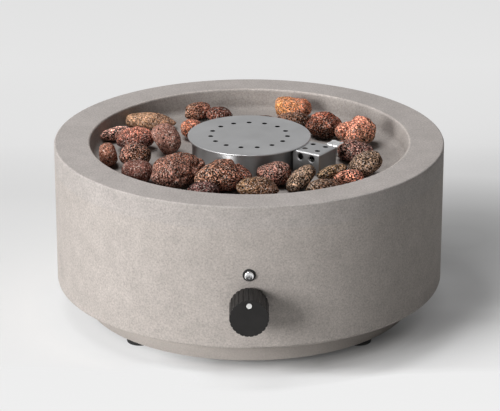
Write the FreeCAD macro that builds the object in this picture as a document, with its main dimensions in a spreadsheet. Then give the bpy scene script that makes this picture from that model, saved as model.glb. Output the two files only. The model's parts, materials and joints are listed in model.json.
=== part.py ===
import FreeCAD, Part
import math
import os
import re

import Sketcher
from FreeCAD import Placement, Rotation, Vector

# Tabletop gas fire pit: a hollow cast bowl on a recessed steel plinth with rubber feet. A round
# burner and a pilot hood stand in its basin among lava rocks, and a push-and-turn gas valve sits
# behind the front wall. Millimetres. The origin is on the bowl's axis at the plane that the feet
# stand on, +Z is up, and the knob is at the front, -Y.

SIZES = {
    # bowl
    "bowl_radius": 215,
    "bowl_height": 159.5,
    "bowl_wall": 16,
    "bowl_floor": 16,
    "rim_round": 1.8,
    "base_edge_round": 3.5,
    "cavity_round": 8,
    "basin_radius": 176,
    "basin_draft": 4,
    "basin_depth": 23,
    "basin_edge_round": 2.5,
    "cove_radius": 7,
    "lip_thickness": 11,
    "insert_depth": 9,
    # plinth, feet and cover
    "plinth_radius": 183.5,
    "plinth_height": 26.5,
    "plinth_gauge": 2.5,
    "top_flange": 23.5,
    "bottom_flange": 46.5,
    "bowl_bolt_inset": 9,
    "bowl_bolt_count": 8,
    "bowl_bolt_start": 22.5,
    "bolt_radius": 2.5,
    "bolt_head_radius": 4.5,
    "bolt_head_height": 3,
    "access_radius": 6,
    "foot_height": 6,
    "foot_radius": 15.5,
    "foot_taper": 1,
    "foot_inset": 16.5,
    "foot_count": 4,
    "small_screw_radius": 2,
    "small_head_radius": 3.8,
    "small_head_height": 1.8,
    "small_nut_radius": 4,
    "small_nut_height": 3.2,
    "cover_gauge": 1.5,
    "cover_overlap": 14,
    "cover_screw_inset": 6.5,
    "cover_screw_count": 6,
    "vent_radius": 4,
    "vent_length": 34,
    "vent_count": 12,
    "vent_circle": 92,
    # burner
    "drum_radius": 63.5,
    "drum_gauge": 1,
    "lid_radius": 68,
    "lid_gauge": 1.5,
    "lid_rise": 4,
    "lid_spigot": 6,
    "port_count": 15,
    "port_radius": 2.85,
    "port_circle": 42.5,
    "nipple_radius": 10,
    "nipple_bore": 8,
    "nipple_flange": 16,
    "nipple_flange_height": 2,
    "nipple_reach": 24,
    "burner_washer_radius": 20,
    "burner_washer_gauge": 2,
    "burner_nut_radius": 16,
    "burner_nut_height": 7,
    "mixer_radius": 14,
    "mixer_wall": 1.5,
    "mixer_neck": 11,
    "air_window_count": 4,
    "air_window_width": 9,
    "air_window_height": 14,
    "holder_flange": 3.5,
    "orifice_radius": 6,
    "orifice_height": 6,
    "jet_radius": 0.5,
    # gas pipes and inlet
    "pipe_radius": 4,
    "pipe_bore": 3,
    "pipe_bend": 20,
    "pipe_side": 54,
    "pipe_stub": 47,
    "pipe_straight": 66,
    "pipe_rise": 73,
    "flare_nut_radius": 8,
    "flare_nut_length": 9,
    "inlet_height": 60,
    "inlet_thread_radius": 7.94,
    "inlet_thread_length": 15,
    "inlet_flange_radius": 12,
    "inlet_flange_length": 6,
    "inlet_nut_radius": 13,
    "inlet_nut_length": 7,
    # valve
    "knob_height": 83.6,
    "seat_wall": 12,
    "seat_half_width": 25,
    "seat_below": 24,
    "seat_above": 48,
    "shaft_hole": 17.5,
    "bracket_gauge": 2,
    "bracket_margin": 0.3,
    "valve_half_width": 18,
    "valve_half_height": 14,
    "valve_length": 36,
    "valve_neck_radius": 8,
    "valve_neck_length": 7,
    "valve_screw_offset": 13,
    "valve_screw_reach": 12,
    "stem_radius": 3,
    "stem_flat": 2.2,
    "stem_flat_length": 20,
    "stem_depth": 15,
    "plunger_radius": 4.5,
    "plunger_length": 4,
    "spring_length": 9,
    "spring_wire": 0.6,
    "spring_turns": 5,
    "piezo_half_width": 11,
    "piezo_height": 15,
    "piezo_length": 27,
    "magnet_radius": 7,
    "magnet_length": 16,
    "screw_rise": 33.1,
    "pan_head_radius": 5,
    "pan_head_height": 3,
    "cross_width": 1.1,
    "cross_span": 5.6,
    "cross_depth": 1.4,
    "washer_radius": 6.8,
    "washer_gauge": 1.2,
    "lock_nut_radius": 4.6,
    "lock_nut_height": 4,
    # knob
    "knob_radius": 20.5,
    "knob_length": 34.5,
    "knob_standoff": 3,
    "knob_wall": 2.6,
    "knob_face_wall": 6,
    "knob_edge_round": 0.8,
    "hub_radius": 7,
    "rib_count": 24,
    "groove_radius": 1.5,
    "groove_depth": 0.9,
    "dot_rise": 13.8,
    "dot_radius": 2.9,
    "dot_recess_radius": 3.9,
    "dot_recess_depth": 0.9,
    "dot_plug_depth": 2.6,
    # pilot hood
    "hood_angle": -34,
    "hood_out": 71.7,
    "hood_side": 38.9,
    "hood_length": 34,
    "hood_width": 35,
    "hood_gauge": 1,
    "hood_edge_round": 1.6,
    "hood_hole_radius": 3,
    "hood_hole_outer": 7.6,
    "hood_hole_inner": 8.5,
    "hood_hole_front": 6.6,
    "hood_hole_back": 9.7,
    "front_hole_radius": 3.3,
    "front_hole_offset": 7.3,
    "front_hole_drop": 6.3,
    "pilot_hole_radius": 11,
    "plate_gauge": 1,
    "plate_length": 30,
    "plate_width": 32,
    "tab_length": 15,
    "tab_width": 13,
    "tab_gauge": 1,
    "tab_leg": 12,
    "probe_spread": 6.5,
    "probe_radius": 2.5,
    "probe_height": 17,
    "collar_radius": 4.4,
    "collar_height": 3,
    "ceramic_radius": 3,
    "ceramic_height": 13,
    "spark_wire_radius": 0.8,
    "spark_wire_height": 18,
    "probe_tail": 22,
    "lead_radius": 1.25,
    "lead_bend": 10,
    "spark_lead_side": 4,
    "spark_lead_stub": 37,
    "spark_lead_across": 19,
    "spark_lead_ahead": 22,
    "spark_lead_lift": 4,
    "spark_lead_drop": 18,
    "sense_lead_stub": 22,
    "sense_lead_across": 3.5,
    "sense_lead_ahead": 80,
    "sense_lead_lift": 8,
    "sense_lead_drop": 20,
    # clearances
    "running_gap": 0.05,
    "hole_gap": 0.3,
    "seat_gap": 0.3,
    "thread_gap": 0.05,
    "screw_end": 1,
    "overcut": 1,
}

doc = FreeCAD.newDocument("fire_pit")
sheet = doc.addObject("Spreadsheet::Sheet", "Sizes")
nodes = []


def fill_sheet():
    for row, (alias, number) in enumerate(SIZES.items(), start=1):
        sheet.set("A%d" % row, alias)
        sheet.set("B%d" % row, str(number))
        sheet.setAlias("B%d" % row, alias)
    doc.recompute()


fill_sheet()

# Heights and radii that several pieces share, each as an expression of the sheet's sizes.
BASE = "(foot_height + plinth_height)"
RIM = "(foot_height + plinth_height + bowl_height)"
FLOOR = "(foot_height + plinth_height + bowl_height - basin_depth)"
UNDER_FLOOR = "(foot_height + plinth_height + bowl_height - basin_depth - bowl_floor)"
CAVITY = "(bowl_radius - bowl_wall)"
BASIN_FLOOR = "(basin_radius - basin_draft)"
LIP = "(plinth_radius - top_flange)"
BOWL_BOLTS = "(plinth_radius - bowl_bolt_inset)"
BOLT_ACROSS = "((plinth_radius - bowl_bolt_inset) * cos(bowl_bolt_start))"
BOLT_BACK = "((plinth_radius - bowl_bolt_inset) * sin(bowl_bolt_start))"
FEET = "(plinth_radius - foot_inset)"
COVER = "(plinth_radius - bottom_flange + cover_overlap)"
COVER_SCREWS = "(plinth_radius - bottom_flange + cover_overlap - cover_screw_inset)"
LID_TOP = "(foot_height + plinth_height + bowl_height + lid_rise)"
LID_UNDER = "(foot_height + plinth_height + bowl_height + lid_rise - lid_gauge)"
SEAT = "(bowl_radius - seat_wall)"
PLATE_BACK = "(bowl_radius - seat_wall - bracket_gauge)"
KNOB_BACK = "(bowl_radius + knob_standoff)"
KNOB_FACE = "(bowl_radius + knob_standoff + knob_length)"
SCREW_HEIGHT = "(knob_height + screw_rise)"
PIPE_LEVEL = "knob_height"
NUT_CORNER = "(flare_nut_radius / cos(30) + seat_gap)"
HOLDER_TOP = "(knob_height + flare_nut_radius / cos(30) + seat_gap + holder_flange)"


def formula(text):
    """The expression that FreeCAD binds, with each alias read from the sheet."""
    return re.sub(r"[a-z]\w+", lambda m: "Sizes." + m[0] if m[0] in SIZES else m[0], text)


def value(text):
    """The number that an expression of the sheet's sizes stands for now."""
    return float(sheet.evalExpression(text))


def place(x="0", y="0", z="0"):
    return Vector(value(x), value(y), value(z))


# ---------------------------------------------------------------- sketches and features


def pin_point(sketch, geometry, point, across, up):
    """Holds a sketch point at a place given by two expressions."""
    for kind, text, axis in (("DistanceX", across, -2), ("DistanceY", up, -1)):
        if text == "0":
            sketch.addConstraint(Sketcher.Constraint("PointOnObject", geometry, point, axis))
        else:
            rule = Sketcher.Constraint(kind, -1, 1, geometry, point, value(text))
            number = sketch.addConstraint(rule)
            sketch.setExpression("Constraints[%d]" % number, formula(text))


def hold_radius(sketch, geometry, radius):
    number = sketch.addConstraint(Sketcher.Constraint("Radius", geometry, value(radius)))
    sketch.setExpression("Constraints[%d]" % number, formula(radius))


def corner_round(before, corner, after, radius):
    """Start, end and centre of the arc that rounds a corner, and whether the outline turns left."""
    back = (before - corner).normalize()
    ahead = (after - corner).normalize()
    half = back.getAngle(ahead) / 2
    reach = radius / math.tan(half)
    middle = (back + ahead).normalize()
    left = ahead.cross(back).z > 0
    return corner + back * reach, corner + ahead * reach, corner + middle * (radius / math.sin(half)), left


def draw_loop(sketch, corners):
    """A closed outline of straight sides. A corner is (across, up) or (across, up, radius)."""
    count = len(corners)
    points = [Vector(value(c[0]), value(c[1]), 0) for c in corners]
    starts, ends, rounds = list(points), points[1:] + points[:1], {}
    for i, corner in enumerate(corners):
        if len(corner) == 3:
            arc = corner_round(points[i - 1], points[i], points[(i + 1) % count], value(corner[2]))
            rounds[i] = arc
            ends[i - 1], starts[i] = arc[0], arc[1]
    sides = [sketch.addGeometry(Part.LineSegment(starts[i], ends[i]), False) for i in range(count)]
    for i, corner in enumerate(corners):
        before, after = sides[i - 1], sides[i]
        if i not in rounds:
            sketch.addConstraint(Sketcher.Constraint("Coincident", before, 2, after, 1))
            pin_point(sketch, after, 1, corner[0], corner[1])
            continue
        first, last, centre, left = rounds[i]
        if not left:
            first, last = last, first
        circle = Part.Circle(centre, Vector(0, 0, 1), value(corner[2]))
        span = [math.atan2(p.y - centre.y, p.x - centre.x) for p in (first, last)]
        arc = sketch.addGeometry(Part.ArcOfCircle(circle, span[0], span[1]), False)
        tip = sketch.addGeometry(Part.Point(points[i]), True)
        near, far = (1, 2) if left else (2, 1)
        sketch.addConstraint(Sketcher.Constraint("Tangent", before, 2, arc, near))
        sketch.addConstraint(Sketcher.Constraint("Tangent", arc, far, after, 1))
        sketch.addConstraint(Sketcher.Constraint("PointOnObject", tip, 1, before))
        sketch.addConstraint(Sketcher.Constraint("PointOnObject", tip, 1, after))
        hold_radius(sketch, arc, corner[2])
        pin_point(sketch, tip, 1, corner[0], corner[1])


def draw_circle(sketch, across, up, radius):
    centre = Vector(value(across), value(up), 0)
    ring = sketch.addGeometry(Part.Circle(centre, Vector(0, 0, 1), value(radius)), False)
    pin_point(sketch, ring, 3, across, up)
    hold_radius(sketch, ring, radius)


def origin_part(body, role):
    return next(item for item in body.Origin.OriginFeatures if item.Role == role)


def new_body(name, placement=None, bind=None):
    """A sub-part. bind gives its Placement's base as expressions of the sheet's sizes."""
    body = doc.addObject("PartDesign::Body", name)
    body.Label = name
    body.AllowCompound = True
    if placement:
        body.Placement = placement
    for axis, text in (bind or {}).items():
        body.setExpression("Placement.Base." + axis, formula(text))
    nodes.append(body)
    return body


def new_sketch(body, name, role, lift="0", out="0"):
    """A sketch on one of the body's own planes, lifted along its normal and moved out along X."""
    sketch = body.newObject("Sketcher::SketchObject", name)
    sketch.AttachmentSupport = [(origin_part(body, role), "")]
    sketch.MapMode = "FlatFace"
    for axis, text in (("z", lift), ("x", out)):
        if text != "0":
            sketch.setExpression("AttachmentOffset.Base." + axis, formula(text))
    return sketch


def finish_sketch(sketch):
    if sketch.solve() != 0:
        raise RuntimeError("sketch does not solve: " + sketch.Name)


def revolve(body, name, corners, out="0"):
    """A turned shape. The outline's points are (radius, height), and its axis may stand out along X."""
    sketch = new_sketch(body, name + "_outline", "XZ_Plane", out=out)
    draw_loop(sketch, corners)
    finish_sketch(sketch)
    turn = body.newObject("PartDesign::Revolution", name)
    turn.Profile = sketch
    turn.ReferenceAxis = (sketch, ["V_Axis"])
    turn.Angle = 360
    doc.recompute()
    return turn


def pad(body, name, role, outline, length, lift="0"):
    """A shape raised from a flat outline by its length, along the plane's normal."""
    sketch = new_sketch(body, name + "_outline", role, lift=lift)
    outline(sketch)
    finish_sketch(sketch)
    raised = body.newObject("PartDesign::Pad", name)
    raised.Profile = sketch
    raised.setExpression("Length", formula(length))
    doc.recompute()
    return raised


def pocket(body, name, role, outline, length, lift="0", forward=False):
    """A cut from a flat outline. forward cuts along the plane's normal instead of against it."""
    before = body.Shape.Volume
    sketch = new_sketch(body, name + "_outline", role, lift=lift)
    outline(sketch)
    finish_sketch(sketch)
    cut = body.newObject("PartDesign::Pocket", name)
    cut.Profile = sketch
    cut.Reversed = forward
    cut.setExpression("Length", formula(length))
    doc.recompute()
    if not body.Shape.Volume < before:
        raise RuntimeError("cut removes nothing: " + name)
    return cut


def repeat_around(body, features, count):
    """Copies features evenly around the body's own Z axis."""
    pattern = body.newObject("PartDesign::PolarPattern", features[0].Name + "_around")
    pattern.Originals = features
    pattern.Axis = (origin_part(body, "Z_Axis"), [""])
    pattern.Angle = 360
    pattern.setExpression("Occurrences", formula(count))
    body.Tip = pattern
    doc.recompute()
    return pattern


def circle(across, up, radius):
    return lambda sketch: draw_circle(sketch, across, up, radius)


def circles(*rings):
    def draw(sketch):
        for ring in rings:
            draw_circle(sketch, *ring)
    return draw


def loop(*corners):
    return lambda sketch: draw_loop(sketch, corners)


def rectangle(low_across, low_up, high_across, high_up):
    return loop(
        (low_across, low_up), (high_across, low_up), (high_across, high_up), (low_across, high_up)
    )


def hexagon(radius, across="0", up="0"):
    """Corners of a hexagon whose flats lie at the radius from its centre."""
    corners = []
    for step in range(6):
        turn = 60 * step + 30
        reach = "%s / cos(30)" % radius
        corners.append(
            (
                "%s + (%s) * cos(%d)" % (across, reach, turn),
                "%s + (%s) * sin(%d)" % (up, reach, turn),
            )
        )
    return loop(*corners)


def bent_path(points, bend):
    """Straight runs joined by tangent arcs of one radius, less where the runs are short."""
    edges = []
    start = points[0]
    for before, corner, after in zip(points, points[1:], points[2:]):
        back = (before - corner).normalize()
        ahead = (after - corner).normalize()
        half = back.getAngle(ahead) / 2
        longest = 0.45 * min((before - corner).Length, (after - corner).Length)
        reach = min(bend / math.tan(half), longest)
        radius = reach * math.tan(half)
        middle = (back + ahead).normalize()
        crown = corner + middle * (radius / math.sin(half) - radius)
        first, last = corner + back * reach, corner + ahead * reach
        edges.append(Part.LineSegment(start, first).toShape())
        edges.append(Part.Arc(first, crown, last).toShape())
        start = last
    edges.append(Part.LineSegment(start, points[-1]).toShape())
    return Part.Wire(edges)


def tube(name, points, bend, radius, bore=0.0):
    """A bent pipe or wire along a path, with an optional bore."""
    path = bent_path(points, bend)
    along = (points[1] - points[0]).normalize()

    def sweep(size):
        ring = Part.Wire([Part.Circle(points[0], along, size).toShape()])
        return path.makePipeShell([ring], True, True)

    solid = sweep(radius)
    if bore:
        solid = solid.cut(sweep(bore))
    feature = doc.addObject("Part::Feature", name)
    feature.Label = name
    feature.Shape = solid
    nodes.append(feature)
    return feature


def front_frame(height):
    """A placement whose Z points out of the front wall and whose Y points up, at a height."""
    return Placement(Vector(0, 0, value(height)), Rotation(Vector(1, 0, 0), 90))


def rear_frame(height):
    """A placement whose Z points out of the rear wall and whose Y points up, at a height."""
    upright = Rotation(Vector(0, 0, 1), 180).multiply(Rotation(Vector(1, 0, 0), 90))
    return Placement(Vector(0, 0, value(height)), upright)


# ---------------------------------------------------------------- bowl, plinth, feet and cover


def make_bowl():
    """Cast bowl: vertical outer wall, flat rim, shallow basin, and a hollow underside with a lip."""
    body = new_body("bowl_shell")
    corners = [
        (LIP, BASE),
        ("bowl_radius", BASE, "base_edge_round"),
        ("bowl_radius", RIM, "rim_round"),
        ("basin_radius", RIM, "basin_edge_round"),
        (BASIN_FLOOR, FLOOR, "cove_radius"),
        ("nipple_radius + hole_gap", FLOOR),
        ("nipple_radius + hole_gap", UNDER_FLOOR),
        (CAVITY, UNDER_FLOOR, "cavity_round"),
        (CAVITY, BASE + " + lip_thickness"),
        (LIP, BASE + " + lip_thickness"),
    ]
    revolve(body, "bowl_wall_and_floor", corners)
    seat = rectangle(
        "-seat_half_width",
        "knob_height - seat_below",
        "seat_half_width",
        "knob_height + seat_above",
    )
    pocket(body, "valve_seat", "XZ_Plane", seat, SEAT, forward=True)
    holes = circles(
        ("0", "knob_height", "shaft_hole"),
        ("0", SCREW_HEIGHT, "bolt_radius + hole_gap"),
    )
    pocket(body, "valve_holes", "XZ_Plane", holes, "bowl_radius + overcut", forward=True)
    inlet = circle("0", "inlet_height", "inlet_thread_radius + hole_gap")
    pocket(body, "inlet_hole", "XZ_Plane", inlet, "bowl_radius + overcut")
    pilot = circle("hood_out", "-hood_side", "pilot_hole_radius")
    pocket(body, "pilot_hole", "XY_Plane", pilot, "bowl_floor", lift=FLOOR)
    insert = circle(BOLT_ACROSS, BOLT_BACK, "bolt_radius + thread_gap")
    first = pocket(body, "insert_hole", "XY_Plane", insert, "insert_depth", lift=BASE, forward=True)
    repeat_around(body, [first], "bowl_bolt_count")


def make_plinth():
    """Steel ring under the bowl: an upright wall with inward flanges at its top and bottom."""
    body = new_body("base_ring")
    corners = [
        ("plinth_radius - bottom_flange", "foot_height"),
        ("plinth_radius", "foot_height"),
        ("plinth_radius", BASE),
        (LIP, BASE),
        (LIP, BASE + " - plinth_gauge"),
        ("plinth_radius - plinth_gauge", BASE + " - plinth_gauge"),
        ("plinth_radius - plinth_gauge", "foot_height + plinth_gauge"),
        ("plinth_radius - bottom_flange", "foot_height + plinth_gauge"),
    ]
    revolve(body, "ring_section", corners)
    bolt = circle(BOLT_ACROSS, BOLT_BACK, "bolt_radius + hole_gap")
    bolts = pocket(body, "bolt_hole", "XY_Plane", bolt, "plinth_gauge", lift=BASE)
    access = circle(BOLT_ACROSS, BOLT_BACK, "access_radius")
    reach = pocket(
        body, "access_hole", "XY_Plane", access, "plinth_gauge", lift="foot_height", forward=True
    )
    repeat_around(body, [bolts, reach], "bowl_bolt_count")
    diagonal = "%s * cos(45)" % FEET
    foot = circle(diagonal, diagonal, "small_screw_radius + hole_gap")
    feet = pocket(body, "foot_hole", "XY_Plane", foot, "plinth_gauge", lift="foot_height", forward=True)
    repeat_around(body, [feet], "foot_count")
    cover = circle("0", COVER_SCREWS, "small_screw_radius + thread_gap")
    covers = pocket(
        body, "cover_hole", "XY_Plane", cover, "plinth_gauge", lift="foot_height", forward=True
    )
    repeat_around(body, [covers], "cover_screw_count")


def make_bowl_bolts():
    """Bolts that hold the plinth ring to the threaded inserts in the bowl's lip."""
    turn = Rotation(Vector(0, 0, 1), value("bowl_bolt_start"))
    body = new_body("plinth_bolts", Placement(Vector(), turn))
    under = BASE + " - plinth_gauge"
    corners = [
        ("0", under + " - bolt_head_height"),
        ("bolt_head_radius", under + " - bolt_head_height"),
        ("bolt_head_radius", under),
        ("bolt_radius", under),
        ("bolt_radius", BASE + " + insert_depth - seat_gap"),
        ("0", BASE + " + insert_depth - seat_gap"),
    ]
    bolt = revolve(body, "plinth_bolt", corners, out=BOWL_BOLTS)
    repeat_around(body, [bolt], "bowl_bolt_count")


def diagonal_body(name):
    """A sub-part whose copies stand on the diagonals, turned 45 degrees about the bowl's axis."""
    return new_body(name, Placement(Vector(), Rotation(Vector(0, 0, 1), 45)))


def make_feet():
    """Rubber feet, wider at the top, each with a counterbore for its screw."""
    body = diagonal_body("rubber_feet")
    head_top = "foot_height - small_head_height"
    corners = [
        ("small_head_radius + hole_gap", "0"),
        ("foot_radius - foot_taper", "0", "foot_taper"),
        ("foot_radius", "foot_height"),
        ("small_screw_radius + hole_gap", "foot_height"),
        ("small_screw_radius + hole_gap", head_top),
        ("small_head_radius + hole_gap", head_top),
    ]
    foot = revolve(body, "rubber_foot", corners, out=FEET)
    repeat_around(body, [foot], "foot_count")


def make_foot_fasteners():
    """Screws up through the feet, with nuts on the plinth's bottom flange."""
    body = diagonal_body("foot_screws")
    seat = "foot_height - small_head_height"
    corners = [
        ("0", seat + " - small_head_height"),
        ("small_head_radius", seat + " - small_head_height"),
        ("small_head_radius", seat),
        ("small_screw_radius", seat),
        ("small_screw_radius", "foot_height + plinth_gauge + small_nut_height + screw_end"),
        ("0", "foot_height + plinth_gauge + small_nut_height + screw_end"),
    ]
    screw = revolve(body, "foot_screw", corners, out=FEET)
    repeat_around(body, [screw], "foot_count")
    nut_body = diagonal_body("foot_nuts")
    nut = pad(
        nut_body,
        "foot_nut",
        "XY_Plane",
        hexagon("small_nut_radius", FEET),
        "small_nut_height",
        lift="foot_height + plinth_gauge",
    )
    bore = pocket(
        nut_body,
        "foot_nut_bore",
        "XY_Plane",
        circle(FEET, "0", "small_screw_radius + thread_gap"),
        "small_nut_height",
        lift="foot_height + plinth_gauge",
        forward=True,
    )
    repeat_around(nut_body, [nut, bore], "foot_count")


def make_cover():
    """Bottom cover: a steel disc under the plinth's flange with radial air slots."""
    body = new_body("bottom_cover")
    under = "foot_height - cover_gauge"
    pad(body, "cover_disc", "XY_Plane", circle("0", "0", COVER), "cover_gauge", lift=under)
    inner, outer = "vent_circle - vent_length / 2", "vent_circle + vent_length / 2"
    slot = loop(
        (inner, "-vent_radius", "vent_radius * 0.98"),
        (outer, "-vent_radius", "vent_radius * 0.98"),
        (outer, "vent_radius", "vent_radius * 0.98"),
        (inner, "vent_radius", "vent_radius * 0.98"),
    )
    vent = pocket(body, "air_slot", "XY_Plane", slot, "cover_gauge", lift=under, forward=True)
    repeat_around(body, [vent], "vent_count")
    hole = circle("0", COVER_SCREWS, "small_screw_radius + hole_gap")
    screw = pocket(body, "screw_hole", "XY_Plane", hole, "cover_gauge", lift=under, forward=True)
    repeat_around(body, [screw], "cover_screw_count")
    screws = new_body("cover_screws", Placement(Vector(), Rotation(Vector(0, 0, 1), 90)))
    corners = [
        ("0", under + " - small_head_height"),
        ("small_head_radius", under + " - small_head_height"),
        ("small_head_radius", under),
        ("small_screw_radius", under),
        ("small_screw_radius", "foot_height + plinth_gauge * 2"),
        ("0", "foot_height + plinth_gauge * 2"),
    ]
    shank = revolve(screws, "cover_screw", corners, out=COVER_SCREWS)
    repeat_around(screws, [shank], "cover_screw_count")


# ---------------------------------------------------------------- burner


def make_burner():
    """Round pan burner: a drum on the basin floor under a drilled lid with an overhanging edge."""
    drum = new_body("burner_drum")
    corners = [
        ("nipple_radius + thread_gap", FLOOR),
        ("drum_radius", FLOOR),
        ("drum_radius", LID_UNDER),
        ("drum_radius - drum_gauge", LID_UNDER),
        ("drum_radius - drum_gauge", FLOOR + " + drum_gauge"),
        ("nipple_radius + thread_gap", FLOOR + " + drum_gauge"),
    ]
    revolve(drum, "drum_section", corners)
    lid = new_body("burner_lid")
    spigot = "drum_radius - drum_gauge - seat_gap"
    corners = [
        ("0", LID_UNDER),
        (spigot + " - lid_gauge", LID_UNDER),
        (spigot + " - lid_gauge", LID_UNDER + " - lid_spigot"),
        (spigot, LID_UNDER + " - lid_spigot"),
        (spigot, LID_UNDER),
        ("lid_radius", LID_UNDER),
        ("lid_radius", LID_TOP, "lid_gauge / 2"),
        ("0", LID_TOP),
    ]
    revolve(lid, "lid_section", corners)
    port = circle("0", "port_circle", "port_radius")
    first = pocket(lid, "flame_port", "XY_Plane", port, "lid_gauge", lift=LID_TOP)
    repeat_around(lid, [first], "port_count")


def make_burner_stand():
    """Nipple, washer and nut that clamp the drum to the basin floor, and the mixer tube below."""
    flange_foot = FLOOR + " + drum_gauge"
    nipple = new_body("burner_nipple")
    tip = UNDER_FLOOR + " - nipple_reach"
    corners = [
        ("nipple_bore", tip),
        ("nipple_radius", tip),
        ("nipple_radius", flange_foot),
        ("nipple_flange", flange_foot),
        ("nipple_flange", flange_foot + " + nipple_flange_height"),
        ("nipple_bore", flange_foot + " + nipple_flange_height"),
    ]
    revolve(nipple, "nipple_section", corners)
    washer = new_body("burner_washer")
    corners = [
        ("nipple_radius + hole_gap", UNDER_FLOOR + " - burner_washer_gauge"),
        ("burner_washer_radius", UNDER_FLOOR + " - burner_washer_gauge"),
        ("burner_washer_radius", UNDER_FLOOR),
        ("nipple_radius + hole_gap", UNDER_FLOOR),
    ]
    revolve(washer, "washer_section", corners)
    nut = new_body("burner_nut")
    low = UNDER_FLOOR + " - burner_washer_gauge - burner_nut_height"
    pad(nut, "nut_block", "XY_Plane", hexagon("burner_nut_radius"), "burner_nut_height", lift=low)
    bore = circle("0", "0", "nipple_radius + thread_gap")
    pocket(nut, "nut_bore", "XY_Plane", bore, "burner_nut_height", lift=low, forward=True)
    mixer = new_body("mixer_tube")
    top = low + " - seat_gap * 5"
    neck = top + " - mixer_neck"
    corners = [
        ("mixer_radius - mixer_wall", HOLDER_TOP),
        ("mixer_radius", HOLDER_TOP),
        ("mixer_radius", top),
        ("nipple_radius + thread_gap", top),
        ("nipple_radius + thread_gap", neck),
        ("mixer_radius - mixer_wall", neck),
    ]
    revolve(mixer, "mixer_section", corners)
    low = HOLDER_TOP + " + orifice_height - screw_end"
    window = rectangle("-air_window_width / 2", low, "air_window_width / 2", low + " + air_window_height")
    first = pocket(mixer, "air_window", "XZ_Plane", window, "mixer_radius + overcut")
    repeat_around(mixer, [first], "air_window_count")


def make_orifice_holder():
    """Brass elbow under the mixer tube: a block with a gas way, a round flange and the jet on top."""
    body = new_body("orifice_holder")
    half = "flare_nut_radius"
    block = rectangle("-" + half, "-" + half, half, half)
    height = half + " + " + NUT_CORNER
    pad(body, "holder_block", "XY_Plane", block, height, lift=PIPE_LEVEL + " - " + half)
    disc = circle("0", "0", "mixer_radius + seat_gap")
    pad(body, "holder_disc", "XY_Plane", disc, "holder_flange", lift=PIPE_LEVEL + " + " + NUT_CORNER)
    pad(body, "orifice", "XY_Plane", circle("0", "0", "orifice_radius"), "orifice_height", lift=HOLDER_TOP)
    way = circle("0", PIPE_LEVEL, "pipe_bore")
    pocket(body, "gas_way", "XZ_Plane", way, half, forward=True)
    rise = NUT_CORNER + " + holder_flange + orifice_height / 2"
    riser = circle("0", "0", "pipe_bore")
    pocket(body, "gas_riser", "XY_Plane", riser, rise, lift=PIPE_LEVEL, forward=True)
    jet = circle("0", "0", "jet_radius")
    pocket(body, "jet", "XY_Plane", jet, "orifice_height", lift=HOLDER_TOP + " + orifice_height")


# ---------------------------------------------------------------- valve, knob and front fasteners


def make_valve_bracket():
    """Steel plate in the recess behind the front wall. It carries the valve."""
    body = new_body("valve_bracket", front_frame("0"))
    plate = rectangle(
        "-seat_half_width + bracket_margin",
        "knob_height - seat_below + bracket_margin",
        "seat_half_width - bracket_margin",
        "knob_height + seat_above - bracket_margin",
    )
    pad(body, "bracket_plate", "XY_Plane", plate, "bracket_gauge", lift=PLATE_BACK)
    holes = circles(
        ("0", "knob_height", "valve_neck_radius + hole_gap"),
        ("0", SCREW_HEIGHT, "bolt_radius + hole_gap"),
        ("valve_screw_offset", "knob_height", "small_screw_radius + hole_gap"),
        ("-valve_screw_offset", "knob_height", "small_screw_radius + hole_gap"),
    )
    pocket(body, "bracket_holes", "XY_Plane", holes, "bracket_gauge", lift=SEAT)


def make_valve():
    """Brass valve body: a block with a threaded neck, a stem bore and a spring chamber."""
    body = new_body("gas_valve", front_frame("knob_height"), {"z": "knob_height"})
    block = rectangle(
        "-valve_half_width", "-valve_half_height", "valve_half_width", "valve_half_height"
    )
    back = PLATE_BACK + " - valve_length"
    pad(body, "valve_block", "XY_Plane", block, "valve_length", lift=back)
    neck = circle("0", "0", "valve_neck_radius")
    pad(body, "valve_neck", "XY_Plane", neck, "valve_neck_length", lift=PLATE_BACK)
    stem_bore = circle("0", "0", "stem_radius + running_gap")
    mouth = PLATE_BACK + " + valve_neck_length"
    pocket(body, "stem_bore", "XY_Plane", stem_bore, "valve_neck_length + stem_depth", lift=mouth)
    chamber = circle("0", "0", "plunger_radius + running_gap")
    floor = PLATE_BACK + " - stem_depth - plunger_length - spring_length"
    pocket(
        body,
        "spring_chamber",
        "XY_Plane",
        chamber,
        "plunger_length + spring_length",
        lift=floor,
        forward=True,
    )
    screws = circles(
        ("valve_screw_offset", "0", "small_screw_radius + thread_gap"),
        ("-valve_screw_offset", "0", "small_screw_radius + thread_gap"),
    )
    pocket(body, "screw_holes", "XY_Plane", screws, "valve_screw_reach", lift=PLATE_BACK)
    way = circle("0", "0", "pipe_bore")
    pocket(body, "outlet_way", "XY_Plane", way, "valve_length / 6", lift=back, forward=True)
    side = circle("0", back + " + valve_length / 2", "pipe_bore")
    half = "valve_half_width"
    pocket(body, "inlet_way", "YZ_Plane", side, half + " / 3", lift="-" + half, forward=True)


def make_valve_screws():
    """Two pan screws that hold the valve to its bracket, hidden behind the knob."""
    body = new_body("valve_screws", front_frame("knob_height"), {"z": "knob_height"})
    corners = [
        ("0", PLATE_BACK + " - valve_screw_reach + seat_gap"),
        ("small_screw_radius", PLATE_BACK + " - valve_screw_reach + seat_gap"),
        ("small_screw_radius", SEAT),
        ("small_head_radius", SEAT),
        ("small_head_radius", SEAT + " + small_head_height"),
        ("0", SEAT + " + small_head_height"),
    ]
    screw = revolve(body, "valve_screw", corners, out="valve_screw_offset")
    repeat_around(body, [screw], "2")


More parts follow.
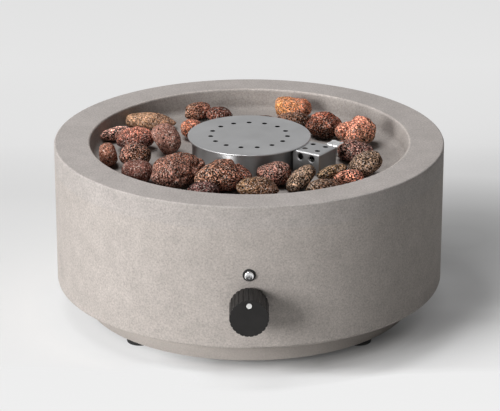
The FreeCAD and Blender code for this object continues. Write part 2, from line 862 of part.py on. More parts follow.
def make_stem():
    """Steel stem with a flat for the knob, and the spring cup that it pushes on."""
    body = new_body("valve_stem", front_frame("knob_height"), {"z": "knob_height"})
    inner = PLATE_BACK + " - stem_depth"
    outer = KNOB_FACE + " - knob_face_wall - seat_gap"
    corners = [("0", inner), ("stem_radius", inner), ("stem_radius", outer), ("0", outer)]
    revolve(body, "stem_rod", corners)
    flat = rectangle("-stem_radius", "stem_flat", "stem_radius", "stem_radius * 1.1")
    pocket(body, "stem_flat_cut", "XY_Plane", flat, "stem_flat_length", lift=outer)
    cup = new_body("stem_plunger", front_frame("knob_height"), {"z": "knob_height"})
    back = PLATE_BACK + " - stem_depth - plunger_length"
    corners = [
        ("0", inner),
        ("plunger_radius", inner),
        ("plunger_radius", back),
        ("stem_radius", back),
        ("stem_radius", back + " + plunger_length / 2"),
        ("0", back + " + plunger_length / 2"),
    ]
    revolve(cup, "plunger_section", corners)


def make_spring():
    """Compression spring between the plunger's cup and the bottom of the valve's chamber."""
    radius = value("stem_radius - spring_wire / 2 - seat_gap / 3")
    wire = value("spring_wire")
    low = value(PLATE_BACK + " - stem_depth - plunger_length - spring_length") + wire / 2
    high = value(PLATE_BACK + " - stem_depth - plunger_length / 2") - wire / 2
    helix = Part.makeHelix((high - low) / value("spring_turns"), high - low, radius)
    ring = Part.Wire([Part.Circle(Vector(radius, 0, 0), Vector(0, 1, 0), wire / 2).toShape()])
    coil = Part.Wire(helix.Edges).makePipeShell([ring], True, True)
    spring = doc.addObject("Part::Feature", "valve_spring")
    spring.Label = "valve_spring"
    spring.Shape = coil
    frame = front_frame("knob_height")
    spring.Placement = frame.multiply(Placement(Vector(0, 0, low), Rotation()))
    nodes.append(spring)


def make_igniter():
    """Piezo igniter on top of the valve, and the safety magnet on its side."""
    body = new_body("piezo_igniter", front_frame("knob_height"), {"z": "knob_height"})
    box = rectangle(
        "-piezo_half_width",
        "valve_half_height",
        "piezo_half_width",
        "valve_half_height + piezo_height",
    )
    front = PLATE_BACK + " - valve_length + bracket_gauge"
    pad(body, "piezo_box", "XY_Plane", box, "piezo_length", lift=front)
    magnet = new_body("safety_magnet", front_frame("knob_height"), {"z": "knob_height"})
    centre = PLATE_BACK + " - valve_length / 2"
    pad(
        magnet,
        "magnet_can",
        "YZ_Plane",
        circle("0", centre, "magnet_radius"),
        "magnet_length",
        lift="valve_half_width",
    )


def make_front_screw():
    """Cross-head screw above the knob, with its black washer outside and its nut inside."""
    screw = new_body("bracket_screw", front_frame(SCREW_HEIGHT), {"z": SCREW_HEIGHT})
    seat = "bowl_radius + washer_gauge"
    tip = PLATE_BACK + " - lock_nut_height * 2"
    corners = [
        ("0", tip),
        ("bolt_radius", tip),
        ("bolt_radius", seat),
        ("pan_head_radius", seat),
        ("pan_head_radius", seat + " + pan_head_height", "pan_head_height * 0.6"),
        ("0", seat + " + pan_head_height"),
    ]
    revolve(screw, "pan_head_screw", corners)
    top = seat + " + pan_head_height"
    half, arm = "cross_width / 2", "cross_span / 2"
    cross = loop(
        ("-" + arm, "-" + half),
        ("-" + half, "-" + half),
        ("-" + half, "-" + arm),
        (half, "-" + arm),
        (half, "-" + half),
        (arm, "-" + half),
        (arm, half),
        (half, half),
        (half, arm),
        ("-" + half, arm),
        ("-" + half, half),
        ("-" + arm, half),
    )
    pocket(screw, "cross_recess", "XY_Plane", cross, "cross_depth", lift=top)
    washer = new_body("bracket_washer", front_frame(SCREW_HEIGHT), {"z": SCREW_HEIGHT})
    corners = [
        ("bolt_radius + hole_gap", "bowl_radius"),
        ("washer_radius", "bowl_radius"),
        ("washer_radius", seat, "washer_gauge / 2"),
        ("bolt_radius + hole_gap", seat),
    ]
    revolve(washer, "washer_ring", corners)
    nut = new_body("bracket_nut", front_frame(SCREW_HEIGHT), {"z": SCREW_HEIGHT})
    pad(
        nut,
        "lock_nut",
        "XY_Plane",
        hexagon("lock_nut_radius"),
        "lock_nut_height",
        lift=PLATE_BACK + " - lock_nut_height",
    )
    bore = circle("0", "0", "bolt_radius + thread_gap")
    pocket(nut, "lock_nut_bore", "XY_Plane", bore, "lock_nut_height", lift=PLATE_BACK)


def make_knob():
    """Ribbed control knob: a hollow cup with a central hub, and a white dot near the face's top."""
    body = new_body("knob", front_frame("knob_height"), {"z": "knob_height"})
    inside = KNOB_FACE + " - knob_face_wall"
    corners = [
        ("stem_radius + thread_gap", KNOB_BACK),
        ("hub_radius", KNOB_BACK),
        ("hub_radius", inside),
        ("knob_radius - knob_wall", inside),
        ("knob_radius - knob_wall", KNOB_BACK),
        ("knob_radius", KNOB_BACK, "knob_edge_round"),
        ("knob_radius", KNOB_FACE, "knob_edge_round"),
        ("0", KNOB_FACE),
        ("0", inside),
        ("stem_radius + thread_gap", inside),
    ]
    revolve(body, "knob_section", corners)
    groove = circle("knob_radius + groove_radius - groove_depth", "0", "groove_radius")
    first = pocket(body, "grip_groove", "XY_Plane", groove, "knob_length", lift=KNOB_FACE)
    repeat_around(body, [first], "rib_count")
    recess = circle("0", "dot_rise", "dot_recess_radius")
    pocket(body, "dot_recess", "XY_Plane", recess, "dot_recess_depth", lift=KNOB_FACE)
    plug = circle("0", "dot_rise", "dot_radius + thread_gap")
    pocket(body, "dot_socket", "XY_Plane", plug, "dot_plug_depth", lift=KNOB_FACE)
    marker = new_body("knob_marker", front_frame("knob_height"), {"z": "knob_height"})
    low = KNOB_FACE + " - dot_plug_depth"
    pad(
        marker,
        "marker_plug",
        "XY_Plane",
        circle("0", "dot_rise", "dot_radius"),
        "dot_plug_depth - dot_recess_depth / 3",
        lift=low,
    )


# ---------------------------------------------------------------- gas inlet and pipes


def make_inlet():
    """Brass flare inlet through the rear wall: outer thread and hexagon, inner shank and nut."""
    body = new_body("inlet_fitting", rear_frame("inlet_height"), {"z": "inlet_height"})
    shank_tip = CAVITY + " - inlet_nut_length * 1.5"
    corners = [
        ("pipe_bore", shank_tip),
        ("inlet_thread_radius", shank_tip),
        ("inlet_thread_radius", "bowl_radius + inlet_flange_length + inlet_thread_length"),
        ("pipe_bore", "bowl_radius + inlet_flange_length + inlet_thread_length"),
    ]
    revolve(body, "inlet_shank", corners)
    ring = circles(("0", "0", "pipe_bore"))
    flange = hexagon("inlet_flange_radius")

    def hexagon_ring(sketch):
        flange(sketch)
        ring(sketch)

    pad(body, "inlet_hexagon", "XY_Plane", hexagon_ring, "inlet_flange_length", lift="bowl_radius")
    nut = new_body("inlet_nut", rear_frame("inlet_height"), {"z": "inlet_height"})
    seat = CAVITY + " - inlet_nut_length - seat_gap * 2"
    pad(nut, "nut_hexagon", "XY_Plane", hexagon("inlet_nut_radius"), "inlet_nut_length", lift=seat)
    bore = circle("0", "0", "inlet_thread_radius + thread_gap")
    pocket(nut, "nut_thread", "XY_Plane", bore, "inlet_nut_length", lift=seat, forward=True)


def make_pipes():
    """Bent pipe from the inlet to the valve, and straight pipe from the valve to the burner."""
    back = -value(PLATE_BACK + " - valve_length")
    middle = -value(PLATE_BACK + " - valve_length / 2")
    level = value("knob_height")
    low = value("inlet_height")
    shank_tip = value(CAVITY + " - inlet_nut_length * 1.5")
    beside = value("pipe_side")
    tube(
        "inlet_pipe",
        [
            Vector(0, shank_tip, low),
            Vector(0, shank_tip - value("pipe_stub"), low),
            Vector(-beside, value("pipe_straight"), low),
            Vector(-beside, middle + value("pipe_rise"), (low + level) / 2),
            Vector(-beside, middle, level),
            Vector(-value("valve_half_width"), middle, level),
        ],
        value("pipe_bend"),
        value("pipe_radius"),
        value("pipe_bore"),
    )
    tube(
        "burner_pipe",
        [Vector(0, back, level), Vector(0, -value("flare_nut_radius"), level)],
        value("pipe_bend"),
        value("pipe_radius"),
        value("pipe_bore"),
    )


def make_pipe_nuts():
    """Flare nuts on the ends of the pipes, each a hexagon around its pipe."""
    body = new_body("flare_nuts", front_frame("knob_height"), {"z": "knob_height"})
    middle = PLATE_BACK + " - valve_length / 2"
    behind = PLATE_BACK + " - valve_length - flare_nut_length"
    add_flare_nut(body, "valve_inlet_nut", "YZ_Plane", middle, "-valve_half_width - flare_nut_length")
    add_flare_nut(body, "valve_outlet_nut", "XY_Plane", "0", behind)
    add_flare_nut(body, "burner_nut_ring", "XY_Plane", "0", "flare_nut_radius")


def add_flare_nut(body, name, role, up, lift):
    """A hexagon ring around a pipe that crosses a plane of the body at the height up."""
    outside = hexagon("flare_nut_radius", "0", up)
    bore = circle("0", up, "pipe_radius + thread_gap")

    def ring(sketch):
        outside(sketch)
        bore(sketch)

    pad(body, name, role, ring, "flare_nut_length", lift=lift)


# ---------------------------------------------------------------- pilot hood and its probes


def hood_frame(lift):
    """A placement at the hood's centre, with X out from the burner, turned with the hood."""
    turn = Rotation(Vector(0, 0, 1), value("hood_angle"))
    return Placement(place("hood_out", "-hood_side", lift), turn)


def hood_body(name):
    return new_body(
        name, hood_frame(FLOOR), {"x": "hood_out", "y": "-hood_side", "z": FLOOR}
    )


HOOD_TOP = "(basin_depth + lid_rise - lid_gauge - seat_gap)"


def make_hood():
    """Sheet-steel hood beside the drum, open below and towards the burner, with vent holes."""
    body = hood_body("flame_hood")
    outer = loop(
        ("-hood_length / 2", "-hood_width / 2"),
        ("hood_length / 2", "-hood_width / 2", "hood_edge_round"),
        ("hood_length / 2", "hood_width / 2", "hood_edge_round"),
        ("-hood_length / 2", "hood_width / 2"),
    )
    pad(body, "hood_block", "XY_Plane", outer, HOOD_TOP)
    round_hood_top(body)
    inner_round = "hood_edge_round - hood_gauge"
    inner = loop(
        ("-hood_length / 2 - overcut", "-hood_width / 2 + hood_gauge"),
        ("hood_length / 2 - hood_gauge", "-hood_width / 2 + hood_gauge", inner_round),
        ("hood_length / 2 - hood_gauge", "hood_width / 2 - hood_gauge", inner_round),
        ("-hood_length / 2 - overcut", "hood_width / 2 - hood_gauge"),
    )
    pocket(body, "hood_inside", "XY_Plane", inner, HOOD_TOP + " - hood_gauge", forward=True)
    top = circles(
        ("hood_hole_outer", "hood_hole_back", "hood_hole_radius"),
        ("hood_hole_outer", "-hood_hole_front", "hood_hole_radius"),
        ("-hood_hole_inner", "hood_hole_back", "hood_hole_radius"),
        ("-hood_hole_inner", "-hood_hole_front", "hood_hole_radius"),
    )
    pocket(body, "top_holes", "XY_Plane", top, "hood_gauge", lift=HOOD_TOP)
    drop = HOOD_TOP + " - front_hole_drop"
    front = circles(
        ("front_hole_offset", drop, "front_hole_radius"),
        ("-front_hole_offset", drop, "front_hole_radius"),
    )
    pocket(body, "front_holes", "XZ_Plane", front, "hood_gauge", lift="hood_width / 2")


def round_hood_top(body):
    """Rounds the block's top edges, apart from the one over the side open to the burner."""
    block = body.Tip
    top, side = value(HOOD_TOP), -value("hood_length / 2")
    edges = []
    for number, edge in enumerate(block.Shape.Edges, start=1):
        box = edge.BoundBox
        is_top = math.isclose(box.ZMin, top, abs_tol=1e-3)
        is_open_side = math.isclose(box.XMax, side, abs_tol=1e-3)
        if is_top and not is_open_side:
            edges.append("Edge%d" % number)
    rounding = body.newObject("PartDesign::Fillet", "hood_top_round")
    rounding.Base = (block, edges)
    rounding.setExpression("Radius", formula("hood_edge_round * 0.9"))
    doc.recompute()


def make_hood_tab():
    """Bright folded tab on the hood's back, with a leg behind the wall and a small screw."""
    body = hood_body("hood_tab")
    back = "(hood_width / 2)"
    corners = [
        (back, HOOD_TOP + " - tab_leg"),
        (back + " + tab_gauge", HOOD_TOP + " - tab_leg"),
        (back + " + tab_gauge", HOOD_TOP),
        (back + " + tab_width", HOOD_TOP + " + tab_gauge"),
        (back + " + tab_width", HOOD_TOP + " + tab_gauge * 2"),
        (back, HOOD_TOP + " + tab_gauge"),
    ]
    pad(
        body,
        "tab_fold",
        "YZ_Plane",
        loop(*corners),
        "tab_length",
        lift="hood_length / 2 - tab_length + seat_gap * 3",
    )
    screw = hood_body("tab_screw")
    centre = "hood_length / 2 - tab_length / 2 + seat_gap * 3"
    level = HOOD_TOP + " - tab_leg / 2 - tab_gauge"
    pad(
        screw,
        "tab_screw_head",
        "XZ_Plane",
        circle(centre, level, "small_head_radius * 0.7"),
        "small_head_height * 0.7",
        lift="-hood_width / 2 - tab_gauge - small_head_height * 0.7",
    )


def make_pilot_plate():
    """Plate on the basin floor inside the hood. It carries the electrode and the thermocouple."""
    body = hood_body("pilot_plate")
    plate = rectangle("-plate_length / 2", "-plate_width / 2", "plate_length / 2", "plate_width / 2")
    pad(body, "plate_sheet", "XY_Plane", plate, "plate_gauge")
    holes = circles(
        ("0", "probe_spread", "probe_radius + hole_gap"),
        ("0", "-probe_spread", "ceramic_radius + hole_gap"),
    )
    pocket(body, "plate_holes", "XY_Plane", holes, "plate_gauge", forward=True)


def make_probes():
    """Thermocouple, and spark electrode with its ceramic sleeve. Each has a collar on the plate."""
    probe = hood_body("thermocouple")
    collar_top = "plate_gauge + collar_height"
    corners = [
        ("0", "-probe_tail"),
        ("probe_radius", "-probe_tail"),
        ("probe_radius", "plate_gauge"),
        ("collar_radius", "plate_gauge"),
        ("collar_radius", collar_top),
        ("probe_radius", collar_top),
        ("probe_radius", "probe_height", "probe_radius * 0.6"),
        ("0", "probe_height"),
    ]
    revolve_at(probe, "probe_section", corners, "probe_spread")
    sleeve = hood_body("electrode_ceramic")
    core = "spark_wire_radius + thread_gap"
    corners = [
        (core, "-probe_tail"),
        ("ceramic_radius", "-probe_tail"),
        ("ceramic_radius", "plate_gauge"),
        ("collar_radius", "plate_gauge"),
        ("collar_radius", collar_top),
        ("ceramic_radius", collar_top),
        ("ceramic_radius", "ceramic_height"),
        (core, "ceramic_height"),
    ]
    revolve_at(sleeve, "sleeve_section", corners, "-probe_spread")
    wire = hood_body("spark_electrode")
    corners = [
        ("0", "-probe_tail"),
        ("spark_wire_radius", "-probe_tail"),
        ("spark_wire_radius", "spark_wire_height"),
        ("0", "spark_wire_height"),
    ]
    revolve_at(wire, "wire_section", corners, "-probe_spread")


def revolve_at(body, name, corners, side):
    """A turned shape whose upright axis stands to one side of the body's origin, along Y."""
    sketch = body.newObject("Sketcher::SketchObject", name + "_outline")
    sketch.AttachmentSupport = [(origin_part(body, "XZ_Plane"), "")]
    sketch.MapMode = "FlatFace"
    sketch.setExpression("AttachmentOffset.Base.z", formula("-(%s)" % side))
    draw_loop(sketch, corners)
    finish_sketch(sketch)
    turn = body.newObject("PartDesign::Revolution", name)
    turn.Profile = sketch
    turn.ReferenceAxis = (sketch, ["V_Axis"])
    turn.Angle = 360
    doc.recompute()
    return turn


def make_leads():
    """Ignition lead from the igniter to the electrode, and thermocouple lead from the magnet."""
    radius = value("lead_radius")
    tail = FLOOR + " - probe_tail"
    middle = -value(PLATE_BACK + " - valve_length / 2")
    spark = hood_frame(FLOOR).multVec(place("0", "-probe_spread", "-probe_tail"))
    sense = hood_frame(FLOOR).multVec(place("0", "probe_spread", "-probe_tail"))
    piezo_back = -value(PLATE_BACK + " - valve_length + bracket_gauge")
    piezo_up = "knob_height + valve_half_height + piezo_height / 2"
    piezo_level = value(piezo_up)
    side = value("spark_lead_side")
    spark_rise = "%s + spark_lead_lift - (%s)" % (piezo_up, tail)
    sense_rise = "knob_height + sense_lead_lift - (%s)" % tail
    tube(
        "ignition_lead",
        [
            Vector(side, piezo_back, piezo_level),
            Vector(side, piezo_back + value("spark_lead_stub"), piezo_level),
            spark + place("-spark_lead_across", "-spark_lead_ahead", spark_rise),
            spark - place("0", "0", "spark_lead_drop"),
            spark,
        ],
        value("lead_bend"),
        radius,
    )
    magnet_end = value("valve_half_width + magnet_length")
    level = value("knob_height")
    tube(
        "thermocouple_lead",
        [
            Vector(magnet_end, middle, level),
            Vector(magnet_end + value("sense_lead_stub"), middle, level),
            sense + place("-sense_lead_across", "-sense_lead_ahead", sense_rise),
            sense - place("0", "0", "sense_lead_drop"),
            sense,
        ],
        value("lead_bend"),
        radius,
    )


# ---------------------------------------------------------------- lava rocks

# Rocks in each node: place across and back from the bowl's axis, length, width, height, and the
# turn of the length from X in degrees. They lie loose on the basin floor.
ROCKS = {
    "lava_rock_01": [(-112, 98.5, 56, 25, 19, -1)],
    "lava_rock_02": [(-150.5, 58.5, 34, 14.5, 14, 38), (-129.5, 26.5, 42.5, 30, 24, 0)],
    "lava_rock_03": [(-154, -28, 20, 28.5, 27, -2), (-118.5, -83.5, 31.5, 30, 24.5, -16)],
    "lava_rock_04": [(-124.5, -32.5, 34, 33, 26.5, -5)],
    "lava_rock_05": [(-77, -94, 63.5, 43.5, 38, 44)],
    "lava_rock_06": [(-47, -139, 31.5, 23, 21.5, -5), (9, -127, 44.5, 29.5, 23.5, 0)],
    "lava_rock_07": [(-29.5, -108, 61, 39.5, 36, 19)],
    "lava_rock_08": [(25.5, -86, 37.5, 32, 26, -25)],
    "lava_rock_09": [(55, -105.5, 51.5, 29.5, 28.5, 72), (78.5, -122, 40, 21, 19.5, 30)],
    "lava_rock_10": [(89.5, -69, 32, 20.5, 16.5, 12), (108.5, -88.5, 31.5, 21.5, 17.5, 12)],
    "lava_rock_11": [(125.5, -62.5, 36, 35, 28.5, 40)],
    "lava_rock_12": [(115.5, -11.5, 41.5, 29, 23, -20)],
    "lava_rock_13": [(119, 40, 47, 40.5, 33, 0)],
    "lava_rock_14": [(84.5, 70.5, 42.5, 37, 30, -21)],
    "lava_rock_15": [(51.5, 136, 42.5, 31.5, 25, -15)],
    "lava_rock_16": [(52.5, 104, 33, 22, 17.5, 0), (17, 113, 27.5, 16.5, 11, 0)],
    "lava_rock_17": [(-59, 131, 33.5, 25, 20.5, 47), (-32.5, 121.5, 28, 28, 18.5, 131)],
    "lava_rock_18": [(-90.5, 13.5, 34, 31.5, 33, 85), (-66, 64, 27, 28.5, 23, 0)],
}

# Radii of the lid and the basin floor between which this layout of rocks was picked.
PICKED_LID = 67
PICKED_BASIN = 172


def make_rocks():
    """Loose rounded rocks between the burner and the basin wall."""
    lid, basin = value("lid_radius"), value(BASIN_FLOOR)
    ring = (basin - lid) / (PICKED_BASIN - PICKED_LID)
    for name, rocks in ROCKS.items():
        pieces = [make_rock(name, n, rock, lid, ring) for n, rock in enumerate(rocks, start=1)]
        node = pieces[0]
        if len(pieces) > 1:
            node = doc.addObject("Part::Compound", name)
            node.Links = pieces
        node.Label = name
        nodes.append(node)


def make_rock(name, number, rock, lid, ring):
    """One rock, sized to the ring's width and length where it lies, seated on the floor."""
    across, back, length, width, height, turn = rock
    picked = math.hypot(across, back)
    reach = lid + (picked - PICKED_LID) * ring
    grade = min(ring, reach / picked)
    pebble = doc.addObject("Part::Ellipsoid", "%s_%d" % (name, number))
    pebble.Angle1, pebble.Angle2, pebble.Angle3 = -90, 90, 360
    pebble.Radius1 = height * grade / 2
    pebble.Radius2 = length * grade / 2
    pebble.Radius3 = width * grade / 2
    low = value(FLOOR) + value("seat_gap")
    centre = Vector(across * reach / picked, back * reach / picked, low + height * grade / 2)
    pebble.Placement = Placement(centre, Rotation(Vector(0, 0, 1), turn))
    return pebble


def check_and_export():
    """Stops on a failed object or a bad solid, then writes each sub-part's STEP file."""
    doc.recompute()
    for item in doc.Objects:
        if "Invalid" in item.State or "Error" in item.State:
            raise RuntimeError("failed object: " + item.Name)
    for node in nodes:
        if node.Shape.isNull() or not node.Shape.isValid() or not node.Shape.Solids:
            raise RuntimeError("bad shape: " + node.Label)
    os.makedirs("parts", exist_ok=True)
    for node in nodes:
        node.Shape.exportStep("parts/%s.step" % node.Label)


make_bowl()
make_plinth()
make_bowl_bolts()
make_feet()
make_foot_fasteners()
make_cover()
make_burner()
make_burner_stand()
make_orifice_holder()
make_valve_bracket()
make_valve()
make_valve_screws()
make_stem()
make_spring()
make_igniter()
make_front_screw()
make_knob()
make_inlet()
make_pipes()
make_pipe_nuts()
make_hood()
make_hood_tab()
make_pilot_plate()
make_probes()
make_leads()
make_rocks()
check_and_export()
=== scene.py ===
import json
import math

import bpy
import numpy as np
from mathutils import Euler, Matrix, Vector


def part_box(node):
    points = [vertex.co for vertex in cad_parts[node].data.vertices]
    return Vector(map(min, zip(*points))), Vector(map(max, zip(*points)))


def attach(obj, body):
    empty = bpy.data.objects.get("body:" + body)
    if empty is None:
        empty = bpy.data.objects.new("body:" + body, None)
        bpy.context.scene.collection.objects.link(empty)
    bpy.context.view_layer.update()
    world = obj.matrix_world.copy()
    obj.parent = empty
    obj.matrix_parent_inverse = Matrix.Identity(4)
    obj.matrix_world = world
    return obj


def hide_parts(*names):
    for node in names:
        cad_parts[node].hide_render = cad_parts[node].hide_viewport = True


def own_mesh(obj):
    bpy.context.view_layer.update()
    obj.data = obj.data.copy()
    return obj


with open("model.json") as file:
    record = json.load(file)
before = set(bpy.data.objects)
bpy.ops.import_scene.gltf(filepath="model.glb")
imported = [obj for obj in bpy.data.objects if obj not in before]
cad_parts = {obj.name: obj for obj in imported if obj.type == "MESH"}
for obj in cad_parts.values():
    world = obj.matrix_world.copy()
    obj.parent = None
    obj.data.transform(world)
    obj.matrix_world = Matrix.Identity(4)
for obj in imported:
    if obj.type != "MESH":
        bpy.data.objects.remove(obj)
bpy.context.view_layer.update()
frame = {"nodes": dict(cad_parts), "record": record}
mm = 0.001


# ---------------------------------------------------------------- sizes and places

# The camera: how far in front of the bowl's axis it stands and how high, how many degrees it looks
# down, how far its picture is shifted, and its lens and sensor in millimetres.
CAMERA_AWAY = 2575.9 * mm
CAMERA_HEIGHT = 1084 * mm
CAMERA_TILT = 20.663
CAMERA_SHIFT = 0.0018
LENS = 177.57
SENSOR = 36

# Where the lamps are aimed, and how strong the even light on the object is.
BOWL_MIDDLE = Vector((0, 0, 110 * mm))
ROOM_LEVEL = 0.010

# The rim and the basin's wall: the radii and heights where their painted shade and highlight change.
SHADED_RADII = (160 * mm, 200 * mm)
SHADED_HEIGHTS = (150 * mm, 200 * mm)

# The pilot hood: its heading in degrees, its length and width, and how far inside its outer faces
# the black of painted shade starts and is full.
HOOD_TURN = -34
HOOD_LENGTH = 34 * mm
HOOD_WIDTH = 35 * mm
HOOD_SHADE_DEPTHS = (0.42 * mm, 0.5 * mm)
# The holes in its front: how far to each side, how far below the top, their radius, and how wide
# and deep the pressed lip around each is.
HOLE_OFFSET = 7.3 * mm
HOLE_DROP = 6.3 * mm
HOLE_RADIUS = 3.3 * mm
HOLE_LIP = 1.1 * mm
LIP_DEPTH = 0.7 * HOLE_LIP

# The tab behind the hood: the size of its faces, how wide and how deep its dents are, and how far
# inside the plain tab's box it stays.
TAB_FACES = 0.5 * mm
DENT_WIDTH = 5 * mm
DENT_DEPTH = 3.2 * mm
TAB_INSET = 0.1 * mm

# The lid's flame ports lie inside the first radius. The black of painted shade on their walls starts
# this far below the lid's top and is full at the second depth.
PORT_RADII = (50 * mm, 49 * mm)
PORT_SHADE_DEPTHS = (0.05 * mm, 0.2 * mm)
# How far inside the drum's outer face its black painted shade starts and is full.
DRUM_SHADE_DEPTHS = (0.4 * mm, 0.8 * mm)
# The near-black of painted shade in the lid's ports, the drum and the hood.
INSIDE_SHADE_BLACK = (0.006, 0.0055, 0.005)

# The floor: its own colour, its radius, and where its painted shadow is deepest and how far it goes.
PAPER = (0.72, 0.725, 0.715)
FLOOR_RADIUS = 9000 * mm
SHADE_MIDDLE = (250 * mm, 190 * mm, 0)
SHADE_REACH = 600 * mm

# The return spring's wire and turns.
SPRING_WIRE = 0.6 * mm
SPRING_TURNS = 5


# ---------------------------------------------------------------- camera and light


def select_only(piece):
    """Leaves only this object selected, and makes it the active one."""
    bpy.ops.object.select_all(action="DESELECT")
    piece.select_set(True)
    bpy.context.view_layer.objects.active = piece


def add_camera():
    """In front of the bowl and a little above it, on its axis, with a long lens."""
    upright = math.radians(90 - CAMERA_TILT)
    bpy.ops.object.camera_add(location=(0, -CAMERA_AWAY, CAMERA_HEIGHT), rotation=(upright, 0, 0))
    camera = bpy.context.object
    camera.name = "front_camera"
    camera.data.sensor_width = SENSOR
    camera.data.lens = LENS
    camera.data.shift_x = CAMERA_SHIFT
    bpy.context.scene.camera = camera


def add_soft_box(name, turn, rise, distance, size, power, tint):
    """A round soft light aimed at the bowl. turn is from the front towards the left, and it and
    rise, the height above level, are in degrees."""
    across = math.radians(turn)
    up = math.radians(rise)
    way = Vector((-math.sin(across) * math.cos(up), -math.cos(across) * math.cos(up), math.sin(up)))
    bpy.ops.object.light_add(type="AREA", location=BOWL_MIDDLE + way * distance)
    lamp = bpy.context.object
    lamp.name = name
    lamp.rotation_euler = way.to_track_quat("Z", "Y").to_euler()
    lamp.data.shape = "DISK"
    lamp.data.size = size
    lamp.data.energy = power
    lamp.data.color = tint


def seen_directly(tree):
    """1 for a camera ray and for what shows in metal or through glass, otherwise 0."""
    rays = tree.nodes.new("ShaderNodeLightPath")
    total = rays.outputs["Is Camera Ray"]
    for kind in ("Is Glossy Ray", "Is Transmission Ray"):
        larger = tree.nodes.new("ShaderNodeMath")
        larger.operation = "MAXIMUM"
        tree.links.new(total, larger.inputs[0])
        tree.links.new(rays.outputs[kind], larger.inputs[1])
        total = larger.outputs[0]
    return total


def add_room_light():
    """A dim even room for the object, and a pale one behind it and in its reflections."""
    world = bpy.data.worlds.new("studio")
    bpy.context.scene.world = world
    world.use_nodes = True
    tree = world.node_tree
    tree.nodes.clear()
    shown = seen_directly(tree)
    room = tree.nodes.new("ShaderNodeBackground")
    room.inputs["Color"].default_value = (0.96, 0.98, 1.0, 1)
    room.inputs["Strength"].default_value = ROOM_LEVEL
    heading = tree.nodes.new("ShaderNodeTexCoord")
    parts = tree.nodes.new("ShaderNodeSeparateXYZ")
    tree.links.new(heading.outputs["Generated"], parts.inputs[0])
    fade = tree.nodes.new("ShaderNodeValToRGB")
    stops = fade.color_ramp.elements
    stops[0].position, stops[0].color = 0.0, (0.72, 0.72, 0.72, 1)
    stops[1].position, stops[1].color = 0.9, (0.30, 0.30, 0.30, 1)
    tree.links.new(parts.outputs["Z"], fade.inputs["Fac"])
    backdrop = tree.nodes.new("ShaderNodeBackground")
    tree.links.new(fade.outputs["Color"], backdrop.inputs["Color"])
    backdrop.inputs["Strength"].default_value = 1.0
    mix = tree.nodes.new("ShaderNodeMixShader")
    tree.links.new(shown, mix.inputs[0])
    tree.links.new(room.outputs[0], mix.inputs[1])
    tree.links.new(backdrop.outputs[0], mix.inputs[2])
    output = tree.nodes.new("ShaderNodeOutputWorld")
    tree.links.new(mix.outputs[0], output.inputs["Surface"])


# ---------------------------------------------------------------- finishes


